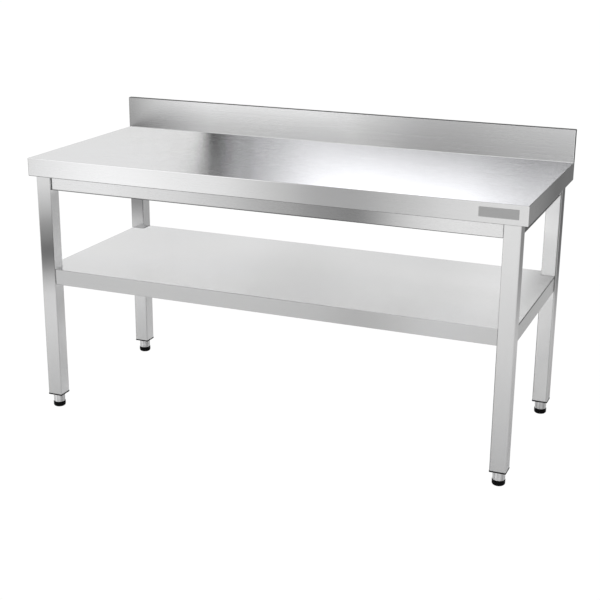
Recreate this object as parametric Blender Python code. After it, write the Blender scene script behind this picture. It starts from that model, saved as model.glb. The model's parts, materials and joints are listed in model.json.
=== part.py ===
"""Stainless kitchen work table with an upstand at the rear and a lower shelf.

Frame: origin on the floor in the middle of the footprint, +Z up, +X to the
right and -Y to the front, metres.  Every separate physical piece is its own
object.  Each foot hangs from an empty on its own screw axis.
"""
import math

import bmesh
import bpy
from mathutils import Matrix, Vector

# ------------------------------------------------------------------ dimensions
GAP = 0.0003             # air between touching pieces

WIDTH = 1.600            # worktop, left to right
DEPTH = 0.660            # worktop, front edge to rear face
HEIGHT = 0.850           # floor to the worktop's surface
EDGE_H = 0.058           # depth of the worktop's folded edge
UPSTAND_H = 0.105        # upstand above the worktop's surface
UPSTAND_T = 0.018        # upstand, front face to rear face
TOP_T = 0.0010           # worktop sheet
TOP_R = 0.0020           # outer bend radius of the worktop sheet
TOP_LIP = 0.010          # return lip under the worktop's edge
FOOT_FILLET = 0.0015     # bend at the upstand's foot, outside of the sheet
FOOT_FILLET_IN = 0.0027  # the same bend, inside of the sheet
FOOT_FILLET_STEPS = 3

CORE_T = 0.018           # sound-deadening board under the sheet
CORE_INSET = 0.0020      # board edge to the inside of the folded edge

LEG = 0.050              # square tube, outside
LEG_T = 0.0012           # tube wall
LEG_R = 0.0040           # tube outside corner radius
LEG_IN_X = 0.020         # worktop end to the leg's outer face
LEG_IN_Y = 0.012         # worktop front or rear to the leg's outer face
LEG_BOTTOM = 0.050       # floor to the tube's lower end

APRON_BOTTOM = 0.748
APRON_T = 0.0012
APRON_D = 0.026          # channel, web face to lip edge
APRON_R = 0.0030
APRON_RECESS = 0.008     # behind the leg's outer face
APRON_END = 0.0005       # end of the apron to the leg

SHELF_TOP = 0.486
SHELF_H = 0.051          # shelf's folded edge
SHELF_T = 0.0010
SHELF_R = 0.0020
SHELF_LIP = 0.012
SHELF_IN_X = 0.004       # shelf end behind the leg's outer face
SHELF_IN_Y = 0.005       # front edge behind the leg's outer face
SHELF_NOTCH = 0.0015     # deck to the leg
SHELF_NOTCH_EDGE = 0.0012  # notch to the inside of the front or rear edge
SHELF_END_CUT = 0.0022   # edge end cut, inwards from the inside of the edge
SHELF_TAB_Y = 0.045      # leg's outer face to the fixing tab's far end
SHELF_TAB_GAP = 0.0004   # tab to the leg
SHELF_TAB_LAP = 0.0005   # tab's start inside the edge's outer face
SHELF_TAB_UNDER = 0.0015  # lip to the tab's lower edge
SHELF_TAB_OVER = 0.0010  # tab's upper edge to the deck

CHANNEL_W = 0.040        # top hat section, crown width
CHANNEL_F = 0.016        # top hat section, each flange
CHANNEL_H = 0.030
CHANNEL_T = 0.0012
CHANNEL_X = 0.270        # the two worktop channels, left and right of middle
CHANNEL_END = 0.004      # channel end to the apron's lip
SHELF_CHANNEL_H = 0.024
SHELF_CHANNEL_HALF = 0.700

BOLT_R = 0.0040          # M8
BOLT_AF = 0.013          # across flats, bolt head and nut
BOLT_HEAD = 0.0053
BOLT_HEAD_BEVEL = 0.0008
BOLT_HEAD_TAPER = 0.93   # outer face of the head as a share of its full size
BOLT_LEN = 0.020
BOLT_TIP_H = 0.001       # chamfer at the shank's end, along the shank
BOLT_TIP_IN = 0.0008     # the same chamfer, inwards
BOLT_HOLE_R = 0.0045
NUT_H = 0.0065
NUT_BORE_R = 0.00415
LONG_BOLT_Z = 0.800      # bolts of the front and rear aprons
SIDE_BOLT_Z = 0.776      # bolts of the side aprons
SHELF_BOLT_Z = 0.462

SCREW_R = 0.0020         # wood screw, apron lip to board
SCREW_HEAD_R = 0.0042
SCREW_LEN = 0.014
SCREW_X = 0.450
SCREW_DEPTH = APRON_D / 2  # apron's web face to the screw
PILOT_PLAY = 0.0002      # board hole beyond the screw's radius
PILOT_CUT = 0.026        # length of the board hole's cutter
LIP_HOLE_PLAY = 0.0004   # apron lip hole beyond the screw's radius

PLUG_FLANGE = 0.004
PLUG_RIM = 0.0006        # flange beyond the tube's outside
PLUG_BODY = 0.0462       # plug, square part inside the tube
PLUG_R = LEG_R - LEG_T - 0.0002  # corner radius, a little under the tube's inside
PLUG_H = 0.058
PLUG_LEAD_H = 0.004      # taper at the plug's top, height
PLUG_LEAD_IN = 0.0008    # the same taper, inwards
PLUG_BORE_R = 0.0195
PLUG_BORE_H = 0.050
PLUG_STEM_PLAY = 0.0003  # stem hole beyond the stem's radius
SLEEVE_R = 0.0190
SLEEVE_T = 0.0015
SLEEVE_TOP = 0.080
SLEEVE_BEVEL = 0.0006
TIP_R = 0.0200
TIP_H = 0.018
TIP_BASE_R = 0.0130
TIP_BEVEL = 0.0008
TIP_ROUND_STEPS = 4
TIP_SPIGOT_R = 0.0172
TIP_SPIGOT_H = 0.012
SPIGOT_BEVEL = 0.001
TIP_STEM_PLAY = 0.0002   # stem socket beyond the stem's radius
STEM_R = 0.0060          # M12
STEM_TOP = 0.140
STEM_SEAT = 0.008
STEM_BEVEL = 0.001

BADGE_T = 0.0008         # name plate, front face to worktop (the foremost face)
BADGE_BACK = 0.00015     # worktop to the plate's back
BADGE_R = 0.001
BADGE_W = 0.113
BADGE_H = 0.028
BADGE_RIGHT = 0.026      # plate's right end to the worktop's right end
BADGE_DROP = 0.013       # worktop's surface to the plate's upper edge

ROUND_SEG = 32
SMALL_SEG = 16
BOLT_SEG = 12
SCREW_SEG = 12

HOLE_CUT = 0.006         # length of the cutters that drill sheet and tube
CUT_OVER = 0.010         # how far a cutter runs past open sides
MOUTH_BELOW = 0.005      # mouth cutter below the lips
MOUTH_ABOVE = 0.002      # mouth cutter above the lips
NEAR = 1e-6              # tolerance when picking edges on a face
NEAR_BOTTOM = 1e-5       # tolerance when picking edges above a bottom

# --------------------------------------------------------------- derived places
# Name plate and worktop together are centred front to rear.
FRONT_Y = -(DEPTH + BADGE_T) / 2 + BADGE_T
REAR_Y = FRONT_Y + DEPTH
EDGE_BOTTOM = HEIGHT - EDGE_H

LEG_OUT_X = WIDTH / 2 - LEG_IN_X
LEG_C_X = LEG_OUT_X - LEG / 2
LEG_FACE_X = LEG_OUT_X - LEG             # inner face, looking to the middle
LEG_FRONT_Y = FRONT_Y + LEG_IN_Y
LEG_REAR_Y = REAR_Y - LEG_IN_Y
CORE_TOP = HEIGHT - TOP_T - GAP
CORE_BOTTOM = CORE_TOP - CORE_T
FRAME_TOP = CORE_BOTTOM - GAP

SHELF_END_X = LEG_OUT_X - SHELF_IN_X
SHELF_FRONT_Y = LEG_FRONT_Y + SHELF_IN_Y
SHELF_REAR_Y = LEG_REAR_Y
SHELF_BOTTOM = SHELF_TOP - SHELF_H

# Outward signs of each corner in X and Y.
CORNERS = {
    "front_left": (-1, -1),
    "front_right": (1, -1),
    "rear_left": (-1, 1),
    "rear_right": (1, 1),
}

# World vectors for a section's two coordinates and its run.
SECTION_YZ = ((0, 1, 0), (0, 0, 1), (1, 0, 0))
SECTION_XZ = ((1, 0, 0), (0, 0, 1), (0, 1, 0))


def leg_centre(side_x, side_y):
    y = LEG_FRONT_Y + LEG / 2 if side_y < 0 else LEG_REAR_Y - LEG / 2
    return side_x * LEG_C_X, y


# ------------------------------------------------------------------- materials
def material(name, color, roughness, metallic=1.0):
    mat = bpy.data.materials.new(name)
    mat.use_nodes = True
    shader = mat.node_tree.nodes["Principled BSDF"]
    shader.inputs["Base Color"].default_value = (*color, 1.0)
    shader.inputs["Roughness"].default_value = roughness
    shader.inputs["Metallic"].default_value = metallic
    mat.diffuse_color = (*color, 1.0)
    return mat


# --------------------------------------------------------------- object helpers
def to_mesh(name, solid):
    """Turns a bmesh into a mesh with its normals outwards, and frees it."""
    bmesh.ops.recalc_face_normals(solid, faces=solid.faces[:])
    mesh = bpy.data.meshes.new(name)
    solid.to_mesh(mesh)
    solid.free()
    return mesh


def place(name, mesh, mat, location=(0, 0, 0), rotation=(0, 0, 0), parent=None):
    obj = bpy.data.objects.new(name, mesh)
    bpy.context.scene.collection.objects.link(obj)
    if mat is not None and not mesh.materials:
        mesh.materials.append(mat)
    obj.location = location
    obj.rotation_euler = rotation
    obj.parent = parent
    mesh.shade_smooth()
    mesh.set_sharp_from_angle(angle=math.radians(31))
    return obj


def finish(name, solid, mat, location=(0, 0, 0)):
    return place(name, to_mesh(name, solid), mat, location)


def combine(target, tool_name, solid, operation="DIFFERENCE"):
    """Applies a tool body, kept out of the render, to the target; returns the tool."""
    tool = finish(tool_name, solid, None)
    tool.hide_render = True
    tool.display_type = "WIRE"
    mod = target.modifiers.new(tool.name, "BOOLEAN")
    mod.operation = operation
    mod.object = tool
    mod.solver = "EXACT"
    return tool


def aim(direction):
    """Euler angles that turn +Z to the direction."""
    return Vector((0, 0, 1)).rotation_difference(Vector(direction)).to_euler()


# ---------------------------------------------------------------- mesh helpers
def add_box(solid, corner, opposite):
    """A box between any two opposite corners; returns its edges."""
    corner, opposite = Vector(corner), Vector(opposite)
    size = [abs(side) for side in opposite - corner]
    centre = (opposite + corner) / 2
    made = bmesh.ops.create_cube(
        solid, size=1.0,
        matrix=Matrix.Translation(centre) @ Matrix.Diagonal((*size, 1.0)))
    return list({e for v in made["verts"] for e in v.link_edges})


def add_prism(solid, outline, start, length, axes):
    """Extrudes a closed outline; axes is SECTION_YZ or SECTION_XZ."""
    across, up, run = (Vector(axis) for axis in axes)
    ring = [solid.verts.new(across * a + up * b + run * start) for a, b in outline]
    face = solid.faces.new(ring)
    out = bmesh.ops.extrude_face_region(solid, geom=[face])
    moved = [item for item in out["geom"] if isinstance(item, bmesh.types.BMVert)]
    bmesh.ops.translate(solid, vec=run * length, verts=moved)


def rounded_square(half, radius, steps=3):
    """Outline of a square with rounded corners, anticlockwise."""
    points = []
    inset = half - radius
    for quarter in range(4):
        base = quarter * math.pi / 2
        centre_x = inset * math.cos(base) - inset * math.sin(base)
        centre_y = inset * math.sin(base) + inset * math.cos(base)
        for i in range(steps + 1):
            angle = base + i * math.pi / 2 / steps
            points.append((centre_x + radius * math.cos(angle),
                           centre_y + radius * math.sin(angle)))
    return points


def polygon(sides, radius):
    return [(radius * math.cos(2 * math.pi * i / sides),
             radius * math.sin(2 * math.pi * i / sides))
            for i in range(sides)]


def add_ring(solid, outline, z):
    return [solid.verts.new((x, y, z)) for x, y in outline]


def skin(solid, low, high):
    """Faces between two rings of equal count."""
    count = len(low)
    for i in range(count):
        j = (i + 1) % count
        solid.faces.new((low[i], low[j], high[j], high[i]))


def add_stack(solid, levels):
    """Skins a list of equal-count rings ((outline, z), ...) and caps the ends."""
    rings = [add_ring(solid, outline, z) for outline, z in levels]
    for low, high in zip(rings, rings[1:]):
        skin(solid, low, high)
    solid.faces.new(list(reversed(rings[0])))
    solid.faces.new(rings[-1])


def add_tube(solid, outer, inner, bottom, top):
    """An open-ended tube between two outlines of equal count."""
    outer_low, outer_high, inner_low, inner_high = (
        add_ring(solid, outline, z) for outline in (outer, inner) for z in (bottom, top))
    skin(solid, outer_low, outer_high)
    skin(solid, inner_high, inner_low)
    skin(solid, outer_high, inner_high)
    skin(solid, inner_low, outer_low)


def add_revolve(solid, profile, segments, about=(0, 0)):
    """Turns (radius, z) points about Z.  Points on the axis close the ends;
    a profile that never meets the axis is joined end to end."""
    axis_r = 1e-9        # radii up to this count as on the axis
    rings = []
    for radius, z in profile:
        if radius <= axis_r:
            outline = [about]
        else:
            outline = [(about[0] + x, about[1] + y) for x, y in polygon(segments, radius)]
        rings.append(add_ring(solid, outline, z))
    pairs = list(zip(rings, rings[1:]))
    if profile[0][0] > axis_r and profile[-1][0] > axis_r:
        pairs.append((rings[-1], rings[0]))
    for low, high in pairs:
        if len(low) == len(high):
            skin(solid, low, high)
            continue
        for i in range(segments):
            j = (i + 1) % segments
            if len(low) == 1:
                solid.faces.new((low[0], high[j], high[i]))
            else:
                solid.faces.new((low[i], low[j], high[0]))


def revolved(name, profile, segments):
    solid = bmesh.new()
    add_revolve(solid, profile, segments)
    return to_mesh(name, solid)


def add_cylinder(solid, centre, direction, radius, length=HOLE_CUT, segments=SMALL_SEG):
    """A cylinder whose middle is at centre."""
    spin = Vector((0, 0, 1)).rotation_difference(Vector(direction)).to_matrix().to_4x4()
    bmesh.ops.create_cone(
        solid, cap_ends=True, cap_tris=False, segments=segments,
        radius1=radius, radius2=radius, depth=length,
        matrix=Matrix.Translation(Vector(centre)) @ spin)


def bevel(solid, edges, radius, steps=3):
    bmesh.ops.bevel(solid, geom=edges, offset=radius, segments=steps,
                    profile=0.5, affect="EDGES", clamp_overlap=False)


def edges_above(edges, z):
    """Edges with at least one end higher than z."""
    return [e for e in edges if max(v.co.z for v in e.verts) > z]


def edges_touching(edges, y):
    """Edges that reach the face at y, the lowest y of the box."""
    return [e for e in edges if min(v.co.y for v in e.verts) < y + NEAR]


def cut_mouth(target, tool_name, end_x, front_y, rear_y, bottom, lip, sheet):
    """Opens the underside of a folded tray, leaving a lip all round."""
    solid = bmesh.new()
    add_box(solid, (-end_x + lip, front_y + lip, bottom - MOUTH_BELOW),
            (end_x - lip, rear_y - lip, bottom + sheet + MOUTH_ABOVE))
    combine(target, tool_name, solid)


# ------------------------------------------------------------------- worktop
def worktop_outline(offset, fillet):
    """Cross-section of the worktop, front to rear, with the bend at the foot
    of the upstand; offset moves every face inwards, save that the upstand's
    front face moves to the rear."""
    front = FRONT_Y + offset
    upstand = REAR_Y - UPSTAND_T + offset
    rear = REAR_Y - offset
    bottom = EDGE_BOTTOM + offset
    surface = HEIGHT - offset
    top = HEIGHT + UPSTAND_H - offset
    points = [(front, bottom), (front, surface)]
    for i in range(FOOT_FILLET_STEPS + 1):
        angle = -math.pi / 2 + i * math.pi / 2 / FOOT_FILLET_STEPS
        points.append((upstand - fillet + fillet * math.cos(angle),
                       surface + fillet + fillet * math.sin(angle)))
    points += [(upstand, top), (rear, top), (rear, bottom)]
    return points


def in_foot_fillet(edge):
    """True for the edges along X in the bend at the foot of the upstand."""
    start, end = (v.co for v in edge.verts)
    return (abs(start.x - end.x) > WIDTH / 2
            and abs(start.y - (REAR_Y - UPSTAND_T)) < FOOT_FILLET + 0.0001
            and start.z < HEIGHT + 0.01)


def worktop_sheet(steel):
    solid = bmesh.new()
    add_prism(solid, worktop_outline(0.0, FOOT_FILLET), -WIDTH / 2, WIDTH, SECTION_YZ)
    bmesh.ops.recalc_face_normals(solid, faces=solid.faces[:])
    folds = [e for e in edges_above(solid.edges, EDGE_BOTTOM + NEAR_BOTTOM)
             if not in_foot_fillet(e)]
    bevel(solid, folds, TOP_R)
    sheet = finish("worktop_sheet", solid, steel)

    solid = bmesh.new()
    half = WIDTH / 2 - TOP_T
    add_prism(solid, worktop_outline(TOP_T, FOOT_FILLET_IN), -half, 2 * half, SECTION_YZ)
    combine(sheet, "cut_worktop_hollow", solid)
    cut_mouth(sheet, "cut_worktop_mouth", WIDTH / 2, FRONT_Y, REAR_Y,
              EDGE_BOTTOM, TOP_LIP, TOP_T)


def screw_place(side_x, side_y):
    face = LEG_FRONT_Y + APRON_RECESS if side_y < 0 else LEG_REAR_Y - APRON_RECESS
    return side_x * SCREW_X, face - side_y * SCREW_DEPTH


def worktop_core(board):
    inset = TOP_T + CORE_INSET
    half = WIDTH / 2 - inset
    solid = bmesh.new()
    add_box(solid, (-half, FRONT_Y + inset, CORE_BOTTOM), (half, REAR_Y - inset, CORE_TOP))
    core = finish("worktop_core_board", solid, board)

    solid = bmesh.new()
    for side_x, side_y in CORNERS.values():
        x, y = screw_place(side_x, side_y)
        add_cylinder(solid, (x, y, CORE_BOTTOM), (0, 0, 1), SCREW_R + PILOT_PLAY,
                     PILOT_CUT, SCREW_SEG)
    combine(core, "cut_core_pilots", solid)


def worktop_screws(steel):
    """Screws from inside the front and rear aprons up into the board."""
    # (radius, z) from the head's underside to the point; bearing face at z = 0
    mesh = revolved("wood_screw", [
        (0, -0.0024), (SCREW_HEAD_R * 0.7, -0.0023), (SCREW_HEAD_R, -0.0010),
        (SCREW_HEAD_R, 0), (SCREW_R, 0), (SCREW_R, SCREW_LEN - 0.002),
        (0, SCREW_LEN)], SCREW_SEG)
    for name, (side_x, side_y) in CORNERS.items():
        x, y = screw_place(side_x, side_y)
        place("worktop_screw_" + name, mesh, steel, (x, y, FRAME_TOP - APRON_T - GAP))


# -------------------------------------------------------------------- channels
def hat_outline(height):
    """Top hat section hanging below 0: flanges up against the sheet."""
    sheet = CHANNEL_T
    crown = CHANNEL_W / 2
    flange = crown + CHANNEL_F
    return [(-flange, 0), (-crown + sheet, 0), (-crown + sheet, -height + sheet),
            (crown - sheet, -height + sheet), (crown - sheet, 0), (flange, 0),
            (flange, -sheet), (crown, -sheet), (crown, -height),
            (-crown, -height), (-crown, -sheet), (-flange, -sheet)]


def channel(name, steel, height, start, length, axes, location):
    solid = bmesh.new()
    add_prism(solid, hat_outline(height), start, length, axes)
    finish(name, solid, steel, location)


def worktop_channels(steel):
    start = LEG_FRONT_Y + APRON_RECESS + APRON_D + CHANNEL_END
    end = LEG_REAR_Y - APRON_RECESS - APRON_D - CHANNEL_END
    for side, x in (("left", -CHANNEL_X), ("right", CHANNEL_X)):
        channel("worktop_channel_" + side, steel, CHANNEL_H, start, end - start,
                SECTION_XZ, (x, 0, FRAME_TOP))


def shelf_channel(steel):
    channel("undershelf_channel", steel, SHELF_CHANNEL_H, -SHELF_CHANNEL_HALF,
            2 * SHELF_CHANNEL_HALF, SECTION_YZ,
            (0, (SHELF_FRONT_Y + SHELF_REAR_Y) / 2, SHELF_TOP - SHELF_T - GAP))


# ------------------------------------------------------------------------ frame
def legs(steel):
    outer = rounded_square(LEG / 2, LEG_R)
    inner = rounded_square(LEG / 2 - LEG_T, LEG_R - LEG_T)
    wall = LEG / 2 - LEG_T / 2           # leg's axis to the middle of its wall
    for name, (side_x, side_y) in CORNERS.items():
        x, y = leg_centre(side_x, side_y)
        solid = bmesh.new()
        add_tube(solid, outer, inner, 0.0, FRAME_TOP - LEG_BOTTOM)
        leg = finish("leg_" + name, solid, steel, (x, y, LEG_BOTTOM))

        solid = bmesh.new()
        wall_x, wall_y = x - side_x * wall, y - side_y * wall
        add_cylinder(solid, (wall_x, y, LONG_BOLT_Z), (1, 0, 0), BOLT_HOLE_R)
        add_cylinder(solid, (x, wall_y, SIDE_BOLT_Z), (0, 1, 0), BOLT_HOLE_R)
        add_cylinder(solid, (wall_x, y, SHELF_BOLT_Z), (1, 0, 0), BOLT_HOLE_R)
        combine(leg, "cut_leg_" + name, solid)


def apron(name, steel, length, bolt_z, screws):
    """A folded tray on its side; returns the rail and its two cutters.
    Local frame: X along the rail, the web's face at y = 0 looking to -Y, lips
    and end tabs towards +Y, z in world heights."""
    half = length / 2
    sheet = APRON_T
    solid = bmesh.new()
    edges = add_box(solid, (-half, 0, APRON_BOTTOM), (half, APRON_D, FRAME_TOP))
    bevel(solid, edges_touching(edges, 0), APRON_R)
    rail = finish(name, solid, steel)

    solid = bmesh.new()
    edges = add_box(solid, (-half + sheet, sheet, APRON_BOTTOM + sheet),
                    (half - sheet, APRON_D + CUT_OVER, FRAME_TOP - sheet))
    bevel(solid, edges_touching(edges, sheet), APRON_R - sheet)
    hollow = combine(rail, "cut_" + name + "_hollow", solid)

    solid = bmesh.new()
    for side in (-1, 1):
        add_cylinder(solid, (side * (half - sheet / 2), LEG / 2 - APRON_RECESS, bolt_z),
                     (1, 0, 0), BOLT_HOLE_R)
        if screws:
            add_cylinder(solid, (side * SCREW_X, SCREW_DEPTH, FRAME_TOP - sheet / 2),
                         (0, 0, 1), SCREW_R + LIP_HOLE_PLAY, segments=SCREW_SEG)
    holes = combine(rail, "cut_" + name + "_holes", solid)
    return rail, hollow, holes


def aprons(steel):
    long_len = 2 * (LEG_FACE_X - APRON_END)
    side_len = (LEG_REAR_Y - LEG_FRONT_Y) - 2 * LEG - 2 * APRON_END
    web_x = LEG_OUT_X - APRON_RECESS
    mid_y = (LEG_FRONT_Y + LEG_REAR_Y) / 2
    # side, location, turn about Z
    long_rails = (("front", (0, LEG_FRONT_Y + APRON_RECESS, 0), 0),
                  ("rear", (0, LEG_REAR_Y - APRON_RECESS, 0), math.pi))
    side_rails = (("left", (-web_x, mid_y, 0), -math.pi / 2),
                  ("right", (web_x, mid_y, 0), math.pi / 2))
    for rails, length, bolt_z, screws in ((long_rails, long_len, LONG_BOLT_Z, True),
                                          (side_rails, side_len, SIDE_BOLT_Z, False)):
        for side, location, turn in rails:
            for obj in apron("apron_" + side, steel, length, bolt_z, screws):
                obj.location = location
                obj.rotation_euler = (0, 0, turn)


# ---------------------------------------------------------------------- bolts
def bolt_mesh():
    """M8 hexagon bolt: bearing face at z = 0, shank to +Z, head to -Z."""
    solid = bmesh.new()
    corner_r = BOLT_AF / 2 / math.cos(math.pi / 6)
    add_stack(solid, [(polygon(6, corner_r * BOLT_HEAD_TAPER), -BOLT_HEAD),
                      (polygon(6, corner_r), -BOLT_HEAD + BOLT_HEAD_BEVEL),
                      (polygon(6, corner_r), 0.0)])
    # The shank's ring is cut into the bearing face so head and shank are one skin.
    cap = max(solid.faces, key=lambda f: f.calc_center_median().z)
    rim = list(cap.verts)
    solid.faces.remove(cap)
    base = add_ring(solid, polygon(BOLT_SEG, BOLT_R), 0)
    edges = []
    for ring in (rim, base):
        for start, end in zip(ring, ring[1:] + ring[:1]):
            edges.append(solid.edges.get((start, end)) or solid.edges.new((start, end)))
    bmesh.ops.triangle_fill(solid, use_beauty=True, edges=edges)
    # Any fill inside the shank's ring would wall the shank off from the head.
    for face in [f for f in solid.faces if all(v in base for v in f.verts)]:
        solid.faces.remove(face)
    shank_end = add_ring(solid, polygon(BOLT_SEG, BOLT_R), BOLT_LEN - BOLT_TIP_H)
    tip = add_ring(solid, polygon(BOLT_SEG, BOLT_R - BOLT_TIP_IN), BOLT_LEN)
    skin(solid, base, shank_end)
    skin(solid, shank_end, tip)
    solid.faces.new(tip)
    return to_mesh("hex_bolt", solid)


def nut_mesh():
    """M8 hexagon nut standing on z = 0."""
    flat_r = BOLT_AF / 2
    outer = []
    for x, y in polygon(BOLT_SEG, 1.0):
        # angle from the middle of the nearest flat
        sector = (math.atan2(y, x) + math.pi / 6) % (math.pi / 3) - math.pi / 6
        outer.append((x * flat_r / math.cos(sector), y * flat_r / math.cos(sector)))
    solid = bmesh.new()
    add_tube(solid, outer, polygon(BOLT_SEG, NUT_BORE_R), 0.0, NUT_H)
    return to_mesh("hex_nut", solid)


def fasteners(steel):
    """A bolt from outside each leg's inner walls and a nut inside the tube."""
    bolt = bolt_mesh()
    nut = nut_mesh()
    apron_stack = APRON_END + APRON_T + GAP      # leg's face to the bolt's bearing face
    shelf_stack = SHELF_TAB_GAP + SHELF_T + GAP
    nut_in = LEG_T + GAP
    for name, (side_x, side_y) in CORNERS.items():
        x, y = leg_centre(side_x, side_y)
        face_y = y - side_y * LEG / 2
        nut_x = side_x * (LEG_FACE_X + nut_in)
        along_x = (side_x, 0, 0)
        along_y = (0, side_y, 0)
        # joint, direction, bolt's location, nut's location
        joints = (
            ("long_apron", along_x,
             (side_x * (LEG_FACE_X - apron_stack), y, LONG_BOLT_Z),
             (nut_x, y, LONG_BOLT_Z)),
            ("side_apron", along_y,
             (x, face_y - side_y * apron_stack, SIDE_BOLT_Z),
             (x, face_y + side_y * nut_in, SIDE_BOLT_Z)),
            ("shelf", along_x,
             (side_x * (LEG_FACE_X - shelf_stack), y, SHELF_BOLT_Z),
             (nut_x, y, SHELF_BOLT_Z)))
        for joint, direction, bolt_at, nut_at in joints:
            place(f"{joint}_bolt_{name}", bolt, steel, bolt_at, aim(direction))
            place(f"{joint}_nut_{name}", nut, steel, nut_at, aim(direction))


# ---------------------------------------------------------------------- shelf
def shelf_tray(steel):
    sheet = SHELF_T
    solid = bmesh.new()
    edges = add_box(solid, (-SHELF_END_X, SHELF_FRONT_Y, SHELF_BOTTOM),
                    (SHELF_END_X, SHELF_REAR_Y, SHELF_TOP))
    bevel(solid, edges_above(edges, SHELF_BOTTOM + NEAR_BOTTOM), SHELF_R)
    tray = finish("undershelf", solid, steel)

    solid = bmesh.new()
    add_box(solid, (-SHELF_END_X + sheet, SHELF_FRONT_Y + sheet, SHELF_BOTTOM + sheet),
            (SHELF_END_X - sheet, SHELF_REAR_Y - sheet, SHELF_TOP - sheet))
    combine(tray, "cut_shelf_hollow", solid)
    cut_mouth(tray, "cut_shelf_mouth", SHELF_END_X, SHELF_FRONT_Y, SHELF_REAR_Y,
              SHELF_BOTTOM, SHELF_LIP, sheet)
    return tray


def shelf_corners(tray):
    """Fits the tray round the legs and adds the tabs that carry the bolts."""
    notches, ends, tabs, holes = (bmesh.new() for _ in range(4))
    low, high = SHELF_BOTTOM - CUT_OVER, SHELF_TOP + CUT_OVER
    tab_face = LEG_FACE_X - SHELF_TAB_GAP
    for side_x, side_y in CORNERS.values():
        x, y = leg_centre(side_x, side_y)
        outer_y = y + side_y * LEG / 2
        edge_y = SHELF_FRONT_Y if side_y < 0 else SHELF_REAR_Y
        past_end = side_x * (SHELF_END_X + CUT_OVER)
        # deck and side edge stop short of the leg, behind the front or rear edge
        add_box(notches,
                (side_x * (LEG_FACE_X - SHELF_NOTCH),
                 edge_y - side_y * (SHELF_T + SHELF_NOTCH_EDGE), low),
                (past_end, outer_y - side_y * (LEG + SHELF_NOTCH), high))
        # front or rear edge runs up to the leg
        add_box(ends,
                (side_x * tab_face, edge_y + side_y * CUT_OVER, low),
                (past_end, edge_y - side_y * (SHELF_T + SHELF_END_CUT), high))
        # tab folded back along the leg, carries the bolt
        add_box(tabs,
                (side_x * tab_face, edge_y - side_y * SHELF_TAB_LAP,
                 SHELF_BOTTOM + SHELF_T + SHELF_TAB_UNDER),
                (side_x * (tab_face - SHELF_T), outer_y - side_y * SHELF_TAB_Y,
                 SHELF_TOP - SHELF_T - SHELF_TAB_OVER))
        add_cylinder(holes, (side_x * (tab_face - SHELF_T / 2), y, SHELF_BOLT_Z),
                     (1, 0, 0), BOLT_HOLE_R)
    combine(tray, "cut_shelf_notches", notches)
    combine(tray, "cut_shelf_ends", ends)
    combine(tray, "tool_shelf_tabs", tabs, "UNION")
    combine(tray, "cut_shelf_holes", holes)


# ----------------------------------------------------------------------- feet
def plug_mesh():
    """Square plug for the leg's lower end, which is at z = 0."""
    flange = rounded_square(LEG / 2 + PLUG_RIM, LEG_R + PLUG_RIM)
    body = rounded_square(PLUG_BODY / 2, PLUG_R)
    lead = rounded_square(PLUG_BODY / 2 - PLUG_LEAD_IN, PLUG_R)
    solid = bmesh.new()
    add_stack(solid, [(flange, -GAP - PLUG_FLANGE), (flange, -GAP), (body, -GAP),
                      (body, PLUG_H - PLUG_LEAD_H), (lead, PLUG_H)])
    return to_mesh("leg_plug", solid)


def leg_plugs(plastic):
    """Plugs, each bored for the sleeve and, above that, for the stem."""
    mesh = plug_mesh()
    low = LEG_BOTTOM - PLUG_FLANGE - 0.002       # starts below the flange
    bore_top = LEG_BOTTOM + PLUG_BORE_H
    stem_top = bore_top + 0.020                  # ends above the plug
    stem_hole = STEM_R + PLUG_STEM_PLAY
    for name, (side_x, side_y) in CORNERS.items():
        x, y = leg_centre(side_x, side_y)
        plug = place("leg_plug_" + name, mesh, plastic, (x, y, LEG_BOTTOM))
        solid = bmesh.new()
        add_revolve(solid, [(0, low), (PLUG_BORE_R, low), (PLUG_BORE_R, bore_top),
                            (stem_hole, bore_top), (stem_hole, stem_top),
                            (0, stem_top)], ROUND_SEG, (x, y))
        combine(plug, "cut_plug_" + name, solid)


def stem_mesh():
    bottom = STEM_SEAT + GAP
    end_r = STEM_R - STEM_BEVEL
    return revolved("foot_stem", [
        (0, bottom), (end_r, bottom), (STEM_R, bottom + STEM_BEVEL),
        (STEM_R, STEM_TOP - STEM_BEVEL), (end_r, STEM_TOP), (0, STEM_TOP)], SMALL_SEG)


def sleeve_mesh():
    inner = SLEEVE_R - SLEEVE_T
    return revolved("foot_sleeve", [
        (inner, TIP_H + GAP), (SLEEVE_R, TIP_H + GAP), (SLEEVE_R, SLEEVE_TOP - SLEEVE_BEVEL),
        (SLEEVE_R - SLEEVE_BEVEL, SLEEVE_TOP), (inner, SLEEVE_TOP)], ROUND_SEG)


def tip_mesh():
    """Flat pad, round shoulder, collar, then a spigot inside the sleeve."""
    shoulder = TIP_R - TIP_BASE_R
    spigot_top = TIP_H + TIP_SPIGOT_H
    socket_r = STEM_R + TIP_STEM_PLAY
    profile = [(0, 0), (TIP_BASE_R, 0)]
    for i in range(1, TIP_ROUND_STEPS + 1):
        angle = -math.pi / 2 + i * math.pi / 2 / TIP_ROUND_STEPS
        profile.append((TIP_BASE_R + shoulder * math.cos(angle),
                        shoulder + shoulder * math.sin(angle)))
    profile += [(TIP_R, TIP_H - TIP_BEVEL), (TIP_R - TIP_BEVEL, TIP_H),
                (TIP_SPIGOT_R, TIP_H), (TIP_SPIGOT_R, spigot_top - SPIGOT_BEVEL),
                (TIP_SPIGOT_R - SPIGOT_BEVEL, spigot_top), (socket_r, spigot_top),
                (socket_r, STEM_SEAT), (0, STEM_SEAT)]
    return revolved("foot_tip", profile, ROUND_SEG)


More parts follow.
